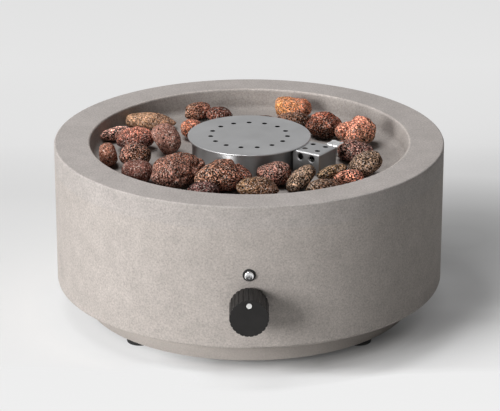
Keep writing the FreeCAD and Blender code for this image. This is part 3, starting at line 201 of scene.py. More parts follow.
class Finish:
    """A procedural finish. Its patterns lie in object coordinates, in metres."""

    def __init__(self, name):
        self.material = bpy.data.materials.new(name)
        self.material.use_nodes = True
        self.tree = self.material.node_tree
        self.shader = self.tree.nodes["Principled BSDF"]
        self.place = self.tree.nodes.new("ShaderNodeTexCoord").outputs["Object"]

    def set(self, **values):
        """Values on the shader's own sockets, each named with _ for a space."""
        for name, value in values.items():
            socket = self.shader.inputs[name.replace("_", " ")]
            if socket.type == "RGBA":
                value = (*value, 1)
            socket.default_value = value

    def link(self, source, name):
        self.tree.links.new(source, self.shader.inputs[name])

    def stretched(self, x, y, z):
        """The place, scaled along each axis, for a pattern with a direction."""
        node = self.tree.nodes.new("ShaderNodeMapping")
        node.inputs["Scale"].default_value = (x, y, z)
        self.tree.links.new(self.place, node.inputs["Vector"])
        return node.outputs[0]

    def noise(self, size, detail=2.0, rough=0.5, place=None):
        """Soft noise whose lumps are about this size across, in metres."""
        node = self.tree.nodes.new("ShaderNodeTexNoise")
        node.inputs["Scale"].default_value = 1 / size
        node.inputs["Detail"].default_value = detail
        node.inputs["Roughness"].default_value = rough
        self.tree.links.new(place or self.place, node.inputs["Vector"])
        return node.outputs["Fac"]

    def cells(self, size, output):
        """Cells round scattered points, about this size, in metres: the Distance to the nearest
        point, or a random Color for each cell."""
        node = self.tree.nodes.new("ShaderNodeTexVoronoi")
        node.inputs["Scale"].default_value = 1 / size
        self.tree.links.new(self.place, node.inputs["Vector"])
        return node.outputs[output]

    def scaled(self, source, low, high):
        """0 where the source is low, 1 where it is high."""
        node = self.tree.nodes.new("ShaderNodeMapRange")
        node.inputs["From Min"].default_value = low
        node.inputs["From Max"].default_value = high
        self.tree.links.new(source, node.inputs["Value"])
        return node.outputs[0]

    def along(self, axis):
        """The place along one axis, in metres: 0 for X, 1 for Y, 2 for Z."""
        parts = self.tree.nodes.new("ShaderNodeSeparateXYZ")
        self.tree.links.new(self.place, parts.inputs[0])
        return parts.outputs[axis]

    def off_axis(self):
        """Distance from the vertical axis, in metres."""
        flat = self.tree.nodes.new("ShaderNodeVectorMath")
        flat.operation = "LENGTH"
        self.tree.links.new(self.stretched(1, 1, 0), flat.inputs[0])
        return flat.outputs["Value"]

    def distance_to(self, point):
        """Distance from this point, in metres."""
        node = self.tree.nodes.new("ShaderNodeVectorMath")
        node.operation = "DISTANCE"
        node.inputs[1].default_value = point
        self.tree.links.new(self.place, node.inputs[0])
        return node.outputs["Value"]

    def towards(self, way):
        """How far the place lies along this vector."""
        node = self.tree.nodes.new("ShaderNodeVectorMath")
        node.operation = "DOT_PRODUCT"
        node.inputs[1].default_value = way
        self.tree.links.new(self.place, node.inputs[0])
        return node.outputs["Value"]

    def distance_along(self, way, middle):
        """Distance to either side of the middle, along this unit vector, in metres."""
        size = self.tree.nodes.new("ShaderNodeMath")
        size.operation = "ABSOLUTE"
        self.tree.links.new(self.sum(self.towards(way), -way.dot(middle)), size.inputs[0])
        return size.outputs[0]

    def attribute(self, name):
        node = self.tree.nodes.new("ShaderNodeAttribute")
        node.attribute_name = name
        return node.outputs["Fac"]

    def ramp(self, source, *stops):
        """A colour or grey for each position of the source, as (position, colour)."""
        node = self.tree.nodes.new("ShaderNodeValToRGB")
        marks = node.color_ramp.elements
        while len(marks) < len(stops):
            marks.new(0.5)
        for mark, (position, colour) in zip(marks, stops):
            mark.position = position
            grey = isinstance(colour, (int, float))
            mark.color = (colour, colour, colour, 1) if grey else (*colour, 1)
        self.tree.links.new(source, node.inputs["Fac"])
        return node.outputs["Color"]

    def blend(self, share, first, second, kind="MIX"):
        """Mixes two colours. share, first and second are sockets, numbers or colours."""
        node = self.tree.nodes.new("ShaderNodeMix")
        node.data_type = "RGBA"
        node.blend_type = kind
        sockets = (node.inputs[0], node.inputs[6], node.inputs[7])
        for socket, value in zip(sockets, (share, first, second)):
            if isinstance(value, bpy.types.NodeSocket):
                self.tree.links.new(value, socket)
            elif isinstance(value, (int, float)) and socket.type != "RGBA":
                socket.default_value = value
            elif isinstance(value, (int, float)):
                socket.default_value = (value, value, value, 1)
            else:
                socket.default_value = (*value, 1)
        return node.outputs[2]

    def times(self, *layers):
        """Multiplies colours and greys."""
        total = layers[0]
        for layer in layers[1:]:
            total = self.blend(1.0, total, layer, "MULTIPLY")
        return total

    def sum(self, *terms):
        """Adds sockets and numbers."""
        total = terms[0]
        for term in terms[1:]:
            node = self.tree.nodes.new("ShaderNodeMath")
            self.tree.links.new(total, node.inputs[0])
            if isinstance(term, bpy.types.NodeSocket):
                self.tree.links.new(term, node.inputs[1])
            else:
                node.inputs[1].default_value = term
            total = node.outputs[0]
        return total

    def bump(self, height, depth, strength=1.0, under=None):
        """Fine relief of this depth in metres. under is an earlier relief that it adds to."""
        node = self.tree.nodes.new("ShaderNodeBump")
        node.inputs["Distance"].default_value = depth
        node.inputs["Strength"].default_value = strength
        self.tree.links.new(height, node.inputs["Height"])
        if under:
            self.tree.links.new(under, node.inputs["Normal"])
        self.tree.links.new(node.outputs[0], self.shader.inputs["Normal"])
        return node.outputs[0]


def basin_shade_and_edge_highlight(look):
    """Painted shade inside the basin, and a painted highlight along the rim's inner edge."""
    radius = look.scaled(look.off_axis(), *SHADED_RADII)
    # Painted shade on the inner wall, a painted highlight on the rounded inner edge, a cooler tone on
    # top.
    across = look.ramp(
        radius, (0.36, 0.80), (0.405, 0.86), (0.42, 1.12), (0.455, 1.1), (0.47, (0.985, 0.995, 1.012))
    )
    height = look.scaled(look.along(2), *SHADED_HEIGHTS)
    return look.blend(look.ramp(height, (0.3, 0.0), (0.36, 1.0)), 1.0, across)


def cast_concrete():
    """Warm grey cast concrete: cloudy, with sand grain and a few pinholes."""
    look = Finish("cast concrete")
    clouds = look.ramp(
        look.noise(90 * mm, 3), (0.3, (0.48, 0.437, 0.409)), (0.7, (0.523, 0.476, 0.447))
    )
    patches = look.ramp(look.noise(17 * mm, 4), (0.3, 0.93), (0.7, 1.05))
    sand = look.ramp(look.noise(1.9 * mm, 3, 0.65), (0.32, 0.77), (0.5, 0.99), (0.68, 1.19))
    holes = look.ramp(look.cells(7 * mm, "Distance"), (0.05, 0.45), (0.09, 1.0))
    colour = look.blend(0.9, look.times(clouds, patches), sand, "MULTIPLY")
    colour = look.blend(0.5, colour, holes, "MULTIPLY")
    # The last layer paints shade inside the basin and a highlight on the rim's inner edge.
    look.link(look.times(colour, basin_shade_and_edge_highlight(look)), "Base Color")
    look.set(Roughness=0.88, Specular_IOR_Level=0.3)
    relief = look.bump(look.noise(1.7 * mm, 4, 0.7), 0.45 * mm, 0.5)
    look.bump(holes, 0.5 * mm, 0.6, relief)
    return look.material


def textured_paint():
    """Matt stone-grey paint on the plinth and its cover, close to the concrete's colour."""
    look = Finish("stone grey paint")
    patches = look.ramp(
        look.noise(40 * mm, 3), (0.3, (0.44, 0.402, 0.375)), (0.7, (0.48, 0.437, 0.408))
    )
    grain = look.ramp(look.noise(1.4 * mm, 3, 0.6), (0.3, 0.85), (0.7, 1.1))
    look.link(look.blend(0.8, patches, grain, "MULTIPLY"), "Base Color")
    look.set(Roughness=0.8, Specular_IOR_Level=0.35)
    look.bump(look.noise(1.2 * mm, 3), 0.25 * mm, 0.5)
    return look.material


def brushed_sheet(name, low, high, rough=0.42, spread=0.0, painted_shade=None, worn=None, pressed=None):
    """Stainless sheet with fine grain and faint smears, from the low grey to the high one. spread
    is how far its turned grooves spread light up and down. soot, worn and pressed are functions of
    the look: where painted shade makes it black, where painted shade makes it duller, and how high
    its face lies."""
    look = Finish(name)
    grain = look.noise(0.7 * mm, 3, 0.6)
    smears = look.noise(30 * mm, 3)
    tint = look.ramp(grain, (0.3, (low, low, low * 1.01)), (0.7, (high, high, high * 1.01)))
    colour = look.blend(0.6, tint, look.ramp(smears, (0.3, 0.88), (0.7, 1.08)), "MULTIPLY")
    # Both paint shade: worn darkens the sides, and soot paints black where only shade falls.
    if worn:
        colour = look.times(colour, worn(look))
    if painted_shade:
        colour = look.blend(painted_shade(look), colour, INSIDE_SHADE_BLACK)
    look.link(colour, "Base Color")
    look.link(look.ramp(smears, (0.3, rough * 0.92), (0.7, rough * 1.08)), "Roughness")
    look.set(Metallic=1.0, Anisotropic=spread, Anisotropic_Rotation=0.25)
    if spread:
        around = look.tree.nodes.new("ShaderNodeTangent")
        around.direction_type = "RADIAL"
        around.axis = "Z"
        look.link(around.outputs[0], "Tangent")
    skin = look.bump(grain, 0.01 * mm, 0.1)
    if pressed:
        look.bump(pressed(look), LIP_DEPTH, 1.0, skin)
    return look.material


def port_painted_shade(look):
    """Painted shade: 1 on the walls of the lid's flame ports and under the lid, otherwise 0."""
    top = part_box("burner_lid")[1][2]
    below = look.scaled(look.along(2), top - PORT_SHADE_DEPTHS[0], top - PORT_SHADE_DEPTHS[1])
    inside = look.scaled(look.off_axis(), *PORT_RADII)
    return look.times(below, inside)


def drum_painted_shade(look):
    """Painted shade: 1 inside the drum, otherwise 0."""
    low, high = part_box("burner_drum")
    reach = (high[0] - low[0]) / 2
    return look.scaled(look.off_axis(), reach - DRUM_SHADE_DEPTHS[0], reach - DRUM_SHADE_DEPTHS[1])


def drum_painted_side_shade(look):
    """Painted shade: darker at the drum's right and a little at its far left."""
    low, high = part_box("burner_drum")
    across = look.scaled(look.along(0), low[0], high[0])
    return look.ramp(across, (0.06, 0.8), (0.2, 1.0), (0.45, 1.0), (0.62, 0.42))


def hood_painted_shade(look):
    """Painted shade: 1 on the hood's inner faces and in its holes, otherwise 0."""
    low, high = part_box("flame_hood")
    middle = (Vector(low) + Vector(high)) / 2
    start, full = HOOD_SHADE_DEPTHS
    shares = [look.scaled(look.along(2), high[2] - start, high[2] - full)]
    for turn, half in ((HOOD_TURN, HOOD_LENGTH / 2), (HOOD_TURN + 90, HOOD_WIDTH / 2)):
        way = Vector((math.cos(math.radians(turn)), math.sin(math.radians(turn)), 0))
        off = look.distance_along(way, middle)
        shares.append(look.scaled(off, half - start, half - full))
    return look.times(*shares)


def hood_lips(look):
    """Falls from 1 to 0 over the pressed lips around the holes in the hood's front."""
    low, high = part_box("flame_hood")
    middle = (Vector(low) + Vector(high)) / 2
    heights = []
    for side in (-1, 1):
        off = Vector((side * HOLE_OFFSET, -HOOD_WIDTH / 2, 0))
        off.rotate(Euler((0, 0, math.radians(HOOD_TURN))))
        away = look.distance_to((middle.x + off.x, middle.y + off.y, high[2] - HOLE_DROP))
        heights.append(look.scaled(away, HOLE_RADIUS, HOLE_RADIUS + HOLE_LIP))
    return look.times(*heights)


def hood_painted_side_shade(look):
    """Painted shade: darker on the hood's upright sides than on its top."""
    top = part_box("flame_hood")[1][2]
    return look.ramp(look.scaled(look.along(2), top - 3 * mm, top), (0.3, 0.62), (0.7, 1.0))


def drawn_metal(name, low, high, rough):
    """Plain drawn or plated metal: a little colour drift, handling marks and fine grain."""
    look = Finish(name)
    drift = look.noise(8 * mm, 4, 0.6)
    look.link(look.ramp(drift, (0.3, low), (0.7, high)), "Base Color")
    look.link(look.ramp(drift, (0.3, rough * 0.8), (0.7, rough * 1.25)), "Roughness")
    look.set(Metallic=1.0)
    look.bump(look.noise(0.6 * mm, 2), 0.02 * mm, 0.4)
    return look.material


def moulded(name, low, high, rough):
    """Moulded rubber, plastic or ceramic with a fine skin."""
    look = Finish(name)
    skin = look.noise(0.5 * mm, 3, 0.6)
    look.link(look.ramp(look.noise(10 * mm, 3), (0.3, low), (0.7, high)), "Base Color")
    look.link(look.ramp(skin, (0.3, rough * 0.9), (0.7, min(rough * 1.1, 1))), "Roughness")
    look.set(Specular_IOR_Level=0.3)
    look.bump(skin, 0.05 * mm, 0.5)
    return look.material


# ---------------------------------------------------------------- floor


def painted_shadow_behind_bowl(look):
    """Painted shadow on the floor behind the bowl at the right, and painted shade towards the left.
    """
    reach = look.scaled(look.distance_to(SHADE_MIDDLE), 0.0, SHADE_REACH)
    patch = look.ramp(reach, (0.06, 0.27), (0.14, 0.40), (0.24, 0.64), (0.30, 0.80), (0.37, 1.0))
    across = look.scaled(look.along(0), -500 * mm, 500 * mm)
    return look.times(patch, look.ramp(across, (0.1, 0.85), (0.5, 0.95), (1.0, 1.0)))


def painted_plinth_shadow(look):
    """Painted contact shadow: how light it leaves the floor at the bowl's front and right."""
    off = look.scaled(look.off_axis(), 172 * mm, 212 * mm)
    front = look.ramp(off, (0.0, 0.6), (0.2, 0.68), (0.33, 0.8), (0.45, 0.9), (0.6, 1.0))
    right = look.ramp(
        off,
        (0.0, 0.45), (0.2, 0.43), (0.33, 0.47), (0.45, 0.53),
        (0.6, 0.68), (0.78, 0.88), (1.0, 1.0),
    )
    shade = look.blend(look.scaled(look.along(0), 30 * mm, 75 * mm), front, right)
    held = look.times(
        look.scaled(look.along(0), -50 * mm, 20 * mm),
        look.scaled(look.along(1), -35 * mm, -100 * mm),
    )
    return look.blend(held, 1.0, shade)


def lit_front(look):
    """How far the floor's own glow clears the outer shadow in front of the bowl."""
    front = look.scaled(look.along(1), -60 * mm, -200 * mm)
    off = look.scaled(look.off_axis(), 200 * mm, 300 * mm)
    return look.times(front, look.ramp(off, (0.0, 0.0), (0.4, 0.12), (0.6, 0.5), (1.0, 0.62)))


def lit_left(look):
    """How far it clears the shadow beside the bowl, at the left."""
    off = look.scaled(look.off_axis(), 172 * mm, 250 * mm)
    near = look.ramp(off, (0.0, 0.45), (0.15, 0.64), (0.3, 0.68), (0.66, 0.55), (1.0, 0.0))
    left = look.times(
        look.scaled(look.along(0), -30 * mm, -100 * mm),
        look.scaled(look.along(1), 120 * mm, 20 * mm),
    )
    return look.times(near, left)


def lit_ahead(look):
    """How far it clears the shadow ahead of the bowl, sooner at the left."""
    ahead = look.scaled(look.along(1), -170 * mm, -260 * mm)
    right = look.ramp(ahead, (0.167, 0.0), (0.333, 0.2), (0.5, 0.58), (0.75, 0.65), (1.0, 0.45))
    left = look.ramp(ahead, (0.033, 0.0), (0.2, 0.2), (0.367, 0.58), (0.617, 0.65), (1.0, 0.45))
    return look.blend(look.scaled(look.along(0), 80 * mm, -20 * mm), right, left)


def lit_right(look):
    """How far it clears the shadow beside the bowl, at the right."""
    off = look.scaled(look.off_axis(), 190 * mm, 270 * mm)
    band = look.ramp(
        off,
        (0.0, 0.0), (0.16, 0.05), (0.38, 0.1), (0.5, 0.115),
        (0.63, 0.095), (0.81, 0.045), (1.0, 0.0),
    )
    for axis, start, end in ((0, 120, 170), (1, -110, -20), (1, 150, 60)):
        band = look.times(band, look.scaled(look.along(axis), start * mm, end * mm))
    return band


def floor_paper():
    """Pale seamless paper. Far behind the bowl it fades into an even backdrop. What is seen directly
    has painted shadows and some glow of its own, and other light meets the plain paper."""
    look = Finish("pale paper")
    tree = look.tree
    depth = look.scaled(look.along(1), -400 * mm, 1200 * mm)
    shown = seen_directly(tree)
    # Painted shadows on the floor, for what is seen directly.
    beside = painted_plinth_shadow(look)
    painted_floor_shadows = look.times(painted_shadow_behind_bowl(look), beside)
    look.link(look.blend(shown, PAPER, painted_floor_shadows), "Base Color")
    look.set(Roughness=0.95, Specular_IOR_Level=0.1)
    glow = tree.nodes.new("ShaderNodeEmission")
    # The glow's grey from the front to far behind: a darker band behind the bowl is painted shade.
    shade = look.ramp(
        depth,
        (0.0, 0.87), (0.25, 0.84), (0.38, 0.74), (0.46, 0.66),
        (0.58, 0.81), (0.72, 0.79), (1.0, 0.765),
    )
    tree.links.new(shade, glow.inputs["Color"])
    backdrop = look.ramp(depth, (0.25, 0.12), (0.42, 0.25), (0.62, 0.75), (0.8, 1.0))
    share = look.sum(backdrop, lit_front(look), lit_left(look), lit_ahead(look), lit_right(look))
    part = tree.nodes.new("ShaderNodeMath")
    part.operation = "MULTIPLY"
    tree.links.new(look.times(share, beside), part.inputs[0])
    tree.links.new(shown, part.inputs[1])
    mix = tree.nodes.new("ShaderNodeMixShader")
    tree.links.new(part.outputs[0], mix.inputs[0])
    tree.links.new(look.shader.outputs[0], mix.inputs[1])
    tree.links.new(glow.outputs[0], mix.inputs[2])
    tree.links.new(mix.outputs[0], tree.nodes["Material Output"].inputs["Surface"])
    return look.material


def add_floor():
    bpy.ops.mesh.primitive_circle_add(vertices=96, radius=FLOOR_RADIUS, fill_type="NGON")
    floor = bpy.context.object
    floor.name = "paper_floor"
    floor.data.materials.append(floor_paper())


# ---------------------------------------------------------------- the frame's own pieces

SLOTS = {
    "cast_concrete": cast_concrete(),
    "plinth_paint": textured_paint(),
    "brushed_steel": brushed_sheet("brushed steel sheet", 0.46, 0.54),
    "zinc_steel": drawn_metal("zinc plated steel", (0.52, 0.53, 0.55), (0.66, 0.66, 0.66), 0.32),
    "bright_chrome": drawn_metal("bright chrome", (0.80, 0.80, 0.81), (0.90, 0.90, 0.90), 0.14),
    "brass": drawn_metal("machined brass", (0.62, 0.46, 0.20), (0.74, 0.58, 0.28), 0.28),
    "aluminium_pipe": drawn_metal("drawn aluminium", (0.68, 0.69, 0.70), (0.80, 0.80, 0.81), 0.30),
    "copper_probe": drawn_metal("drawn copper", (0.60, 0.30, 0.18), (0.76, 0.42, 0.27), 0.30),
    "black_rubber": moulded("black rubber", (0.018, 0.018, 0.018), (0.03, 0.03, 0.03), 0.75),
    "black_plastic": moulded("black plastic", (0.010, 0.009, 0.0088), (0.015, 0.0135, 0.013), 0.5),
    "white_plastic": moulded("white plastic", (0.86, 0.86, 0.85), (0.92, 0.92, 0.91), 0.4),
    "white_ceramic": moulded("white ceramic", (0.80, 0.78, 0.74), (0.88, 0.87, 0.84), 0.55),
    "lead_sleeve": moulded("silicone sleeve", (0.66, 0.65, 0.61), (0.76, 0.75, 0.72), 0.6),
}

# The nodes whose finish isn't their slot's.
BY_NODE = {
    # Painted shade on these: black in the ports, the drum and the hood, darker on the drum's and
    # hood's sides.
    "burner_lid": brushed_sheet("matt steel lid", 0.50, 0.57, painted_shade=port_painted_shade),
    "burner_drum": brushed_sheet(
        "turned steel drum", 0.52, 0.60, spread=0.9, painted_shade=drum_painted_shade, worn=drum_painted_side_shade
    ),
    "flame_hood": brushed_sheet(
        "folded steel hood", 0.46, 0.54, painted_shade=hood_painted_shade, worn=hood_painted_side_shade, pressed=hood_lips
    ),
}


def finish_cad_nodes():
    """Gives every piece that comes from the frame its own finish, or else its slot's. The plain
    stones get none here, because the rough ones take their place."""
    for part in frame["record"]["subparts"]:
        finish = BY_NODE.get(part["node"], SLOTS.get(part["material_slot"]))
        if finish:
            mesh = frame["nodes"][part["node"]].data
            mesh.materials.clear()
            mesh.materials.append(finish)


# ---------------------------------------------------------------- lava stones

SAND = (0.443, 0.254, 0.15)
PALE_TAN = (0.288, 0.188, 0.11)
GREY_TAN = (0.216, 0.141, 0.095)
HAZEL = (0.216, 0.122, 0.067)
OLIVE_BROWN = (0.17, 0.0987, 0.053)
BROWN = (0.355, 0.193, 0.12)
WALNUT = (0.237, 0.12, 0.077)
UMBER = (0.149, 0.0724, 0.037)
DARK_BROWN = (0.103, 0.047, 0.029)
PALE_MAUVE = (0.381, 0.211, 0.17)
MAUVE = (0.263, 0.13, 0.1)
PLUM = (0.196, 0.0846, 0.066)
PURPLE = (0.154, 0.0714, 0.063)
ROSE = (0.34, 0.15, 0.11)
RED_BROWN = (0.283, 0.122, 0.081)
CLAY = (0.247, 0.0921, 0.063)
BRICK = (0.299, 0.094, 0.057)
SALMON = (0.433, 0.164, 0.11)
CORAL = (0.556, 0.214, 0.14)
ORANGE = (0.515, 0.193, 0.11)
AMBER = (0.62, 0.272, 0.108)
PALE_CRUMB = (0.77, 0.63, 0.56)
# The near-black of painted shade in the stones' pores.
PORE_SHADE = (0.019, 0.009, 0.006)


class Stone:
    """One stone: its number, its looks, and how it differs from its plain solid."""

    def __init__(
        self, number, first, second, way, grow=(1.03, 1.03, 1.0), shift=0.0,
        lumps=0.15, shade=1.0, speckle=1.0, flats=(), lean=0.0, slim=1.0,
    ):
        self.number = number
        # Two tints, and the way from the first to the second.
        self.first = first
        self.second = second
        self.way = Vector(way).normalized()
        # Its growth along X, Y and Z, and its shift to the right, given in millimetres.
        self.grow = grow
        self.shift = shift * mm
        # How lumpy, how pale and how speckled it is.
        self.lumps = lumps
        self.shade = shade
        self.speckle = speckle
        # Each flat is the way that it faces, and how far out it lies as a share of the reach there.
        self.flats = flats
        # How far it leans to the right, in degrees, and how slim it is across its length.
        self.lean = lean
        self.slim = slim


# Each node's stones from left to right.
STONES = {
    "lava_rock_01": [
        Stone(
            1, SAND, BROWN, (1, 0, -0.3), (1.05, 1.1, 0.98), lumps=0.1, shade=1.15, speckle=0.6,
            flats=(((-1, 0, 0.1), 0.85), ((0.45, 0, 0.9), 0.66), ((-0.1, 0, 1), 0.8)),
        ),
    ],
    "lava_rock_02": [
        Stone(
            3, PALE_MAUVE, MAUVE, (0, 0, -1), (1.3, 1.2, 1.1), shade=1.7, speckle=1.5,
            flats=(((-0.2, 0, 1), 0.8),),
        ),
        Stone(
            4, SALMON, PURPLE, (-0.1, -0.6, -1), (1.04, 1.05, 1.08), 3, shade=1.05, speckle=0.95,
            flats=(((-0.5, 0, 0.85), 0.75),),
        ),
    ],
    "lava_rock_03": [
        Stone(
            5, RED_BROWN, RED_BROWN, (0.3, 0, -1), (1.08, 1.04, 1.0), shade=1.25, speckle=0.55,
            flats=(((-1, 0, 0), 0.75), ((1, 0, 0.2), 0.75)),
        ),
        Stone(
            7, PLUM, PLUM, (1, 0, 0), (1.14, 1.08, 1.04), -1, lumps=0.06, shade=1.05, speckle=0.5,
            flats=(((-0.1, 0, 1), 0.8),),
        ),
    ],
    "lava_rock_04": [
        Stone(6, ROSE, UMBER, (1, 0, -0.9), (1.08, 1.08, 1.08), shade=0.65, speckle=1.3),
    ],
    "lava_rock_05": [
        Stone(
            8, RED_BROWN, MAUVE, (-0.2, -0.8, -1), (1.08, 1.05, 1.0), 1, shade=0.9, speckle=0.95,
            flats=(((0.5, -0.3, 0.8), 0.75),),
        ),
    ],
    "lava_rock_06": [
        Stone(9, PURPLE, PURPLE, (1, 0, 0), (1.12, 1.12, 1.05), -1, shade=0.75),
        Stone(
            11, HAZEL, WALNUT, (1, 0, -1), (1.04, 1.03, 1.0), lumps=0.08, shade=0.8,
            flats=(((0.7, 0, 0.7), 0.7),),
        ),
    ],
    "lava_rock_07": [
        Stone(
            10, WALNUT, CLAY, (1, 0, -0.6), (1.06, 1.05, 1.0), 2, lumps=0.1, speckle=1.25,
            flats=(((-0.7, 0, 0.7), 0.9), ((0.6, 0, 0.8), 0.74)),
        ),
    ],
    "lava_rock_08": [
        Stone(
            12, MAUVE, PLUM, (0.3, 0, -1), (1.07, 1.06, 1.0), 1, lumps=0.09, shade=0.95, speckle=1.3,
            flats=(((-0.45, 0, 0.9), 0.74), ((1, 0, 0.25), 0.82)),
        ),
    ],
    "lava_rock_09": [
        Stone(
            13, GREY_TAN, GREY_TAN, (1, 0, 0), (1.02, 1.0, 1.02),
            lumps=0.05, speckle=1.3, lean=38, slim=0.5,
        ),
        Stone(15, GREY_TAN, WALNUT, (1, 0, 0), (1.05, 1.05, 1.0), shade=0.75),
    ],
    "lava_rock_10": [
        Stone(
            14, PALE_TAN, OLIVE_BROWN, (1, 0, 0), (1.08, 1.05, 1.06),
            lumps=0.07, shade=1.4, speckle=1.4, lean=50, slim=0.5,
        ),
        Stone(16, RED_BROWN, SALMON, (1, 0, 0), (1.08, 1.05, 1.0), -2, shade=1.4, speckle=1.4),
    ],
    "lava_rock_11": [
        Stone(
            17, GREY_TAN, GREY_TAN, (1, 0, 0), (1.08, 1.04, 1.02),
            lumps=0.09, shade=0.95, speckle=1.2, lean=40, slim=0.62,
        ),
    ],
    "lava_rock_12": [
        Stone(18, MAUVE, PURPLE, (1, 0, -1), (1.1, 1.2, 1.06), -0.5, shade=0.85, speckle=1.5),
    ],
    "lava_rock_13": [
        Stone(
            19, CORAL, BROWN, (0.2, 0, -1), (1.02, 1.02, 1.03), shade=1.3, speckle=0.95,
            flats=(((-0.4, 0, 0.9), 0.75), ((1, 0, -0.2), 0.85)),
        ),
    ],
    "lava_rock_14": [
        Stone(
            20, BRICK, DARK_BROWN, (0, -0.5, -1), (1.06, 1.04, 1.0), shade=1.15, speckle=1.15,
            flats=(((-0.75, -0.2, 0.65), 0.72), ((0.7, -0.2, 0.7), 0.7)),
        ),
    ],
    "lava_rock_15": [
        Stone(
            21, AMBER, ORANGE, (1, 0, 0.5), (1.05, 1.03, 1.0), shade=1.2, speckle=0.6,
            flats=(((-1, 0, 0.1), 0.75), ((0.1, 0, 1), 0.75), ((0.8, -0.2, 0.6), 0.78)),
        ),
    ],
    "lava_rock_16": [
        Stone(26, DARK_BROWN, DARK_BROWN, (1, 0, 0), (1.1, 1.0, 1.0)),
        Stone(22, WALNUT, DARK_BROWN, (1, 0, -0.5), (1.2, 1.05, 1.0), -2),
    ],
    "lava_rock_17": [
        Stone(
            23, WALNUT, CLAY, (1, 0, -0.4), (1.07, 1.06, 1.02), shade=1.1,
            flats=(((-1, 0, 0.2), 0.82),),
        ),
        Stone(24, CLAY, PLUM, (1, 0, 0), (1.12, 1.04, 1.0), -1.5, shade=0.65),
    ],
    "lava_rock_18": [
        Stone(
            2, MAUVE, MAUVE, (0, 0, 1), (1.1, 1.04, 1.05), -1,
            lumps=0.07, shade=1.4, speckle=0.5, lean=-25, slim=0.85,
            flats=(((-0.8, 0, -0.5), 0.66), ((-0.2, 0, 1), 0.88)),
        ),
        Stone(25, ORANGE, SALMON, (1, 0, 0), (1.0, 1.0, 1.0), 2, shade=1.05),
    ],
}

# Folds in a few stones: where in the stone's box, the way across the fold, and depth and width.
FOLDS = {
    8: ((0.0, -0.2, 0.05), (-0.28, -0.2, 1.0), 2.2 * mm, 1.5 * mm),
    10: ((0.62, 0.0, 0.0), (1.0, 0.25, 0.2), 2.4 * mm, 1.8 * mm),
    19: ((-0.35, 0.0, 0.6), (1.0, 0.0, -0.35), 3.4 * mm, 3.5 * mm),
}

# The size of a stone's first, coarse faces and of its last, fine ones.
COARSE = 1.4 * mm
FINE = 0.45 * mm
# How many flats each stone gets by chance, and how far out they lie, as shares of its reach.
CHANCE_FLATS = 3
CHANCE_SHARES = (0.84, 0.94)
# How many times its edges are tumbled, and then eased.
TUMBLED = 12
EASED = 3
# The height of its knuckles as a share of its size, and the height of its grit.
KNUCKLE_SHARE = 0.06
GRIT_HEIGHT = 0.6 * mm
# How deep its small pores and its large ones are.
PORE_DEPTH = 0.7 * mm
LARGE_PORE_DEPTH = 1.4 * PORE_DEPTH
# How far inside its box a stone stays before it gets its grit.
INSET = 0.2 * mm


def spread_about_one(stone, *stops):
    """These stops with their greys further from 1 or nearer to it, as speckled as the stone is."""
    return [(position, max(1 + (grey - 1) * stone.speckle, 0.03)) for position, grey in stops]


def lava(stone, low, high):
    """Rough porous lava. One tint turns to the other across the stone, with flecks, pores that go
    near-black as painted shade, and painted shade darkening its lower half."""
    look = Finish("lava of stone %02d" % stone.number)
    heading = stone.way / float(np.abs(np.array(stone.way)) @ (high - low))
    middle = heading.dot(Vector((low + high) / 2))
    ragged = look.sum(look.towards(heading), look.noise(11 * mm, 3, 0.6), -middle)
    tint = look.blend(look.ramp(ragged, (0.2, 0.0), (0.8, 1.0)), stone.first, stone.second)
    patches = look.ramp(look.noise(6 * mm, 3, 0.6), (0.32, 0.62), (0.5, 1.0), (0.68, 1.35))
    specks = look.ramp(
        look.noise(1.6 * mm, 2, 0.6), *spread_about_one(stone, (0.40, 0.3), (0.5, 0.92), (0.60, 1.8))
    )
    grains = look.ramp(
        look.cells(1.4 * mm, "Color"), *spread_about_one(stone, (0.25, 0.2), (0.5, 0.92), (0.75, 2.0))
    )
    colour = look.times(tint, stone.shade, patches, specks, grains)
    scattered = look.noise(1.5 * mm, 2, 0.5, look.stretched(1, 1.1, 0.9))
    colour = look.blend(look.ramp(scattered, (0.59, 0.0), (0.66, 0.9)), colour, PALE_CRUMB)
    # Painted shade: darker towards the bottom of the stone, for the shade under and between stones.
    height = look.scaled(look.along(2), float(low[2]), float(high[2]))
    colour = look.times(colour, look.ramp(height, (0.05, 0.4), (0.5, 1.0)))
    # Painted shade: the deeper into a pore, the nearer to black.
    pits = look.ramp(look.attribute("pore"), (0.12, 0.0), (0.6, 0.97))
    look.link(look.blend(pits, colour, PORE_SHADE), "Base Color")
    look.set(Roughness=0.92, Specular_IOR_Level=0.08)
    look.bump(look.noise(0.9 * mm, 3, 0.7), 0.4 * mm, 0.8)
    return look.material


def cloud_texture(name, size, depth=1):
    texture = bpy.data.textures.new(name, "CLOUDS")
    texture.noise_basis = "ORIGINAL_PERLIN"
    texture.noise_scale = size
    texture.noise_depth = depth
    return texture


def pore_texture(name, size, rim):
    """Round pits around scattered points. rim is where a pit ends, as a share of the spacing."""
    texture = bpy.data.textures.new(name, "VORONOI")
    texture.noise_scale = size
    texture.use_color_ramp = True
    ramp = texture.color_ramp.elements
    ramp[0].position, ramp[0].color = 0.0, (0, 0, 0, 1)
    ramp[1].position, ramp[1].color = rim, (1, 1, 1, 1)
    return texture


LUMPS = cloud_texture("stone lumps", 20 * mm)
KNUCKLES = cloud_texture("stone knuckles", 6 * mm, depth=2)
GRIT = cloud_texture("stone grit", 1.6 * mm)
SMALL_PORES = pore_texture("small pores", 3.0 * mm, 0.34)
LARGE_PORES = pore_texture("large pores", 6.5 * mm, 0.22)


def displace(piece, texture, height, level, group=""):
    """Raises the piece by the texture. level is the texture's grey that stays where it is."""
    change = piece.modifiers.new("relief", "DISPLACE")
    if texture:
        change.texture = texture
    change.texture_coords = "LOCAL"
    change.strength = height
    change.mid_level = level
    change.vertex_group = group


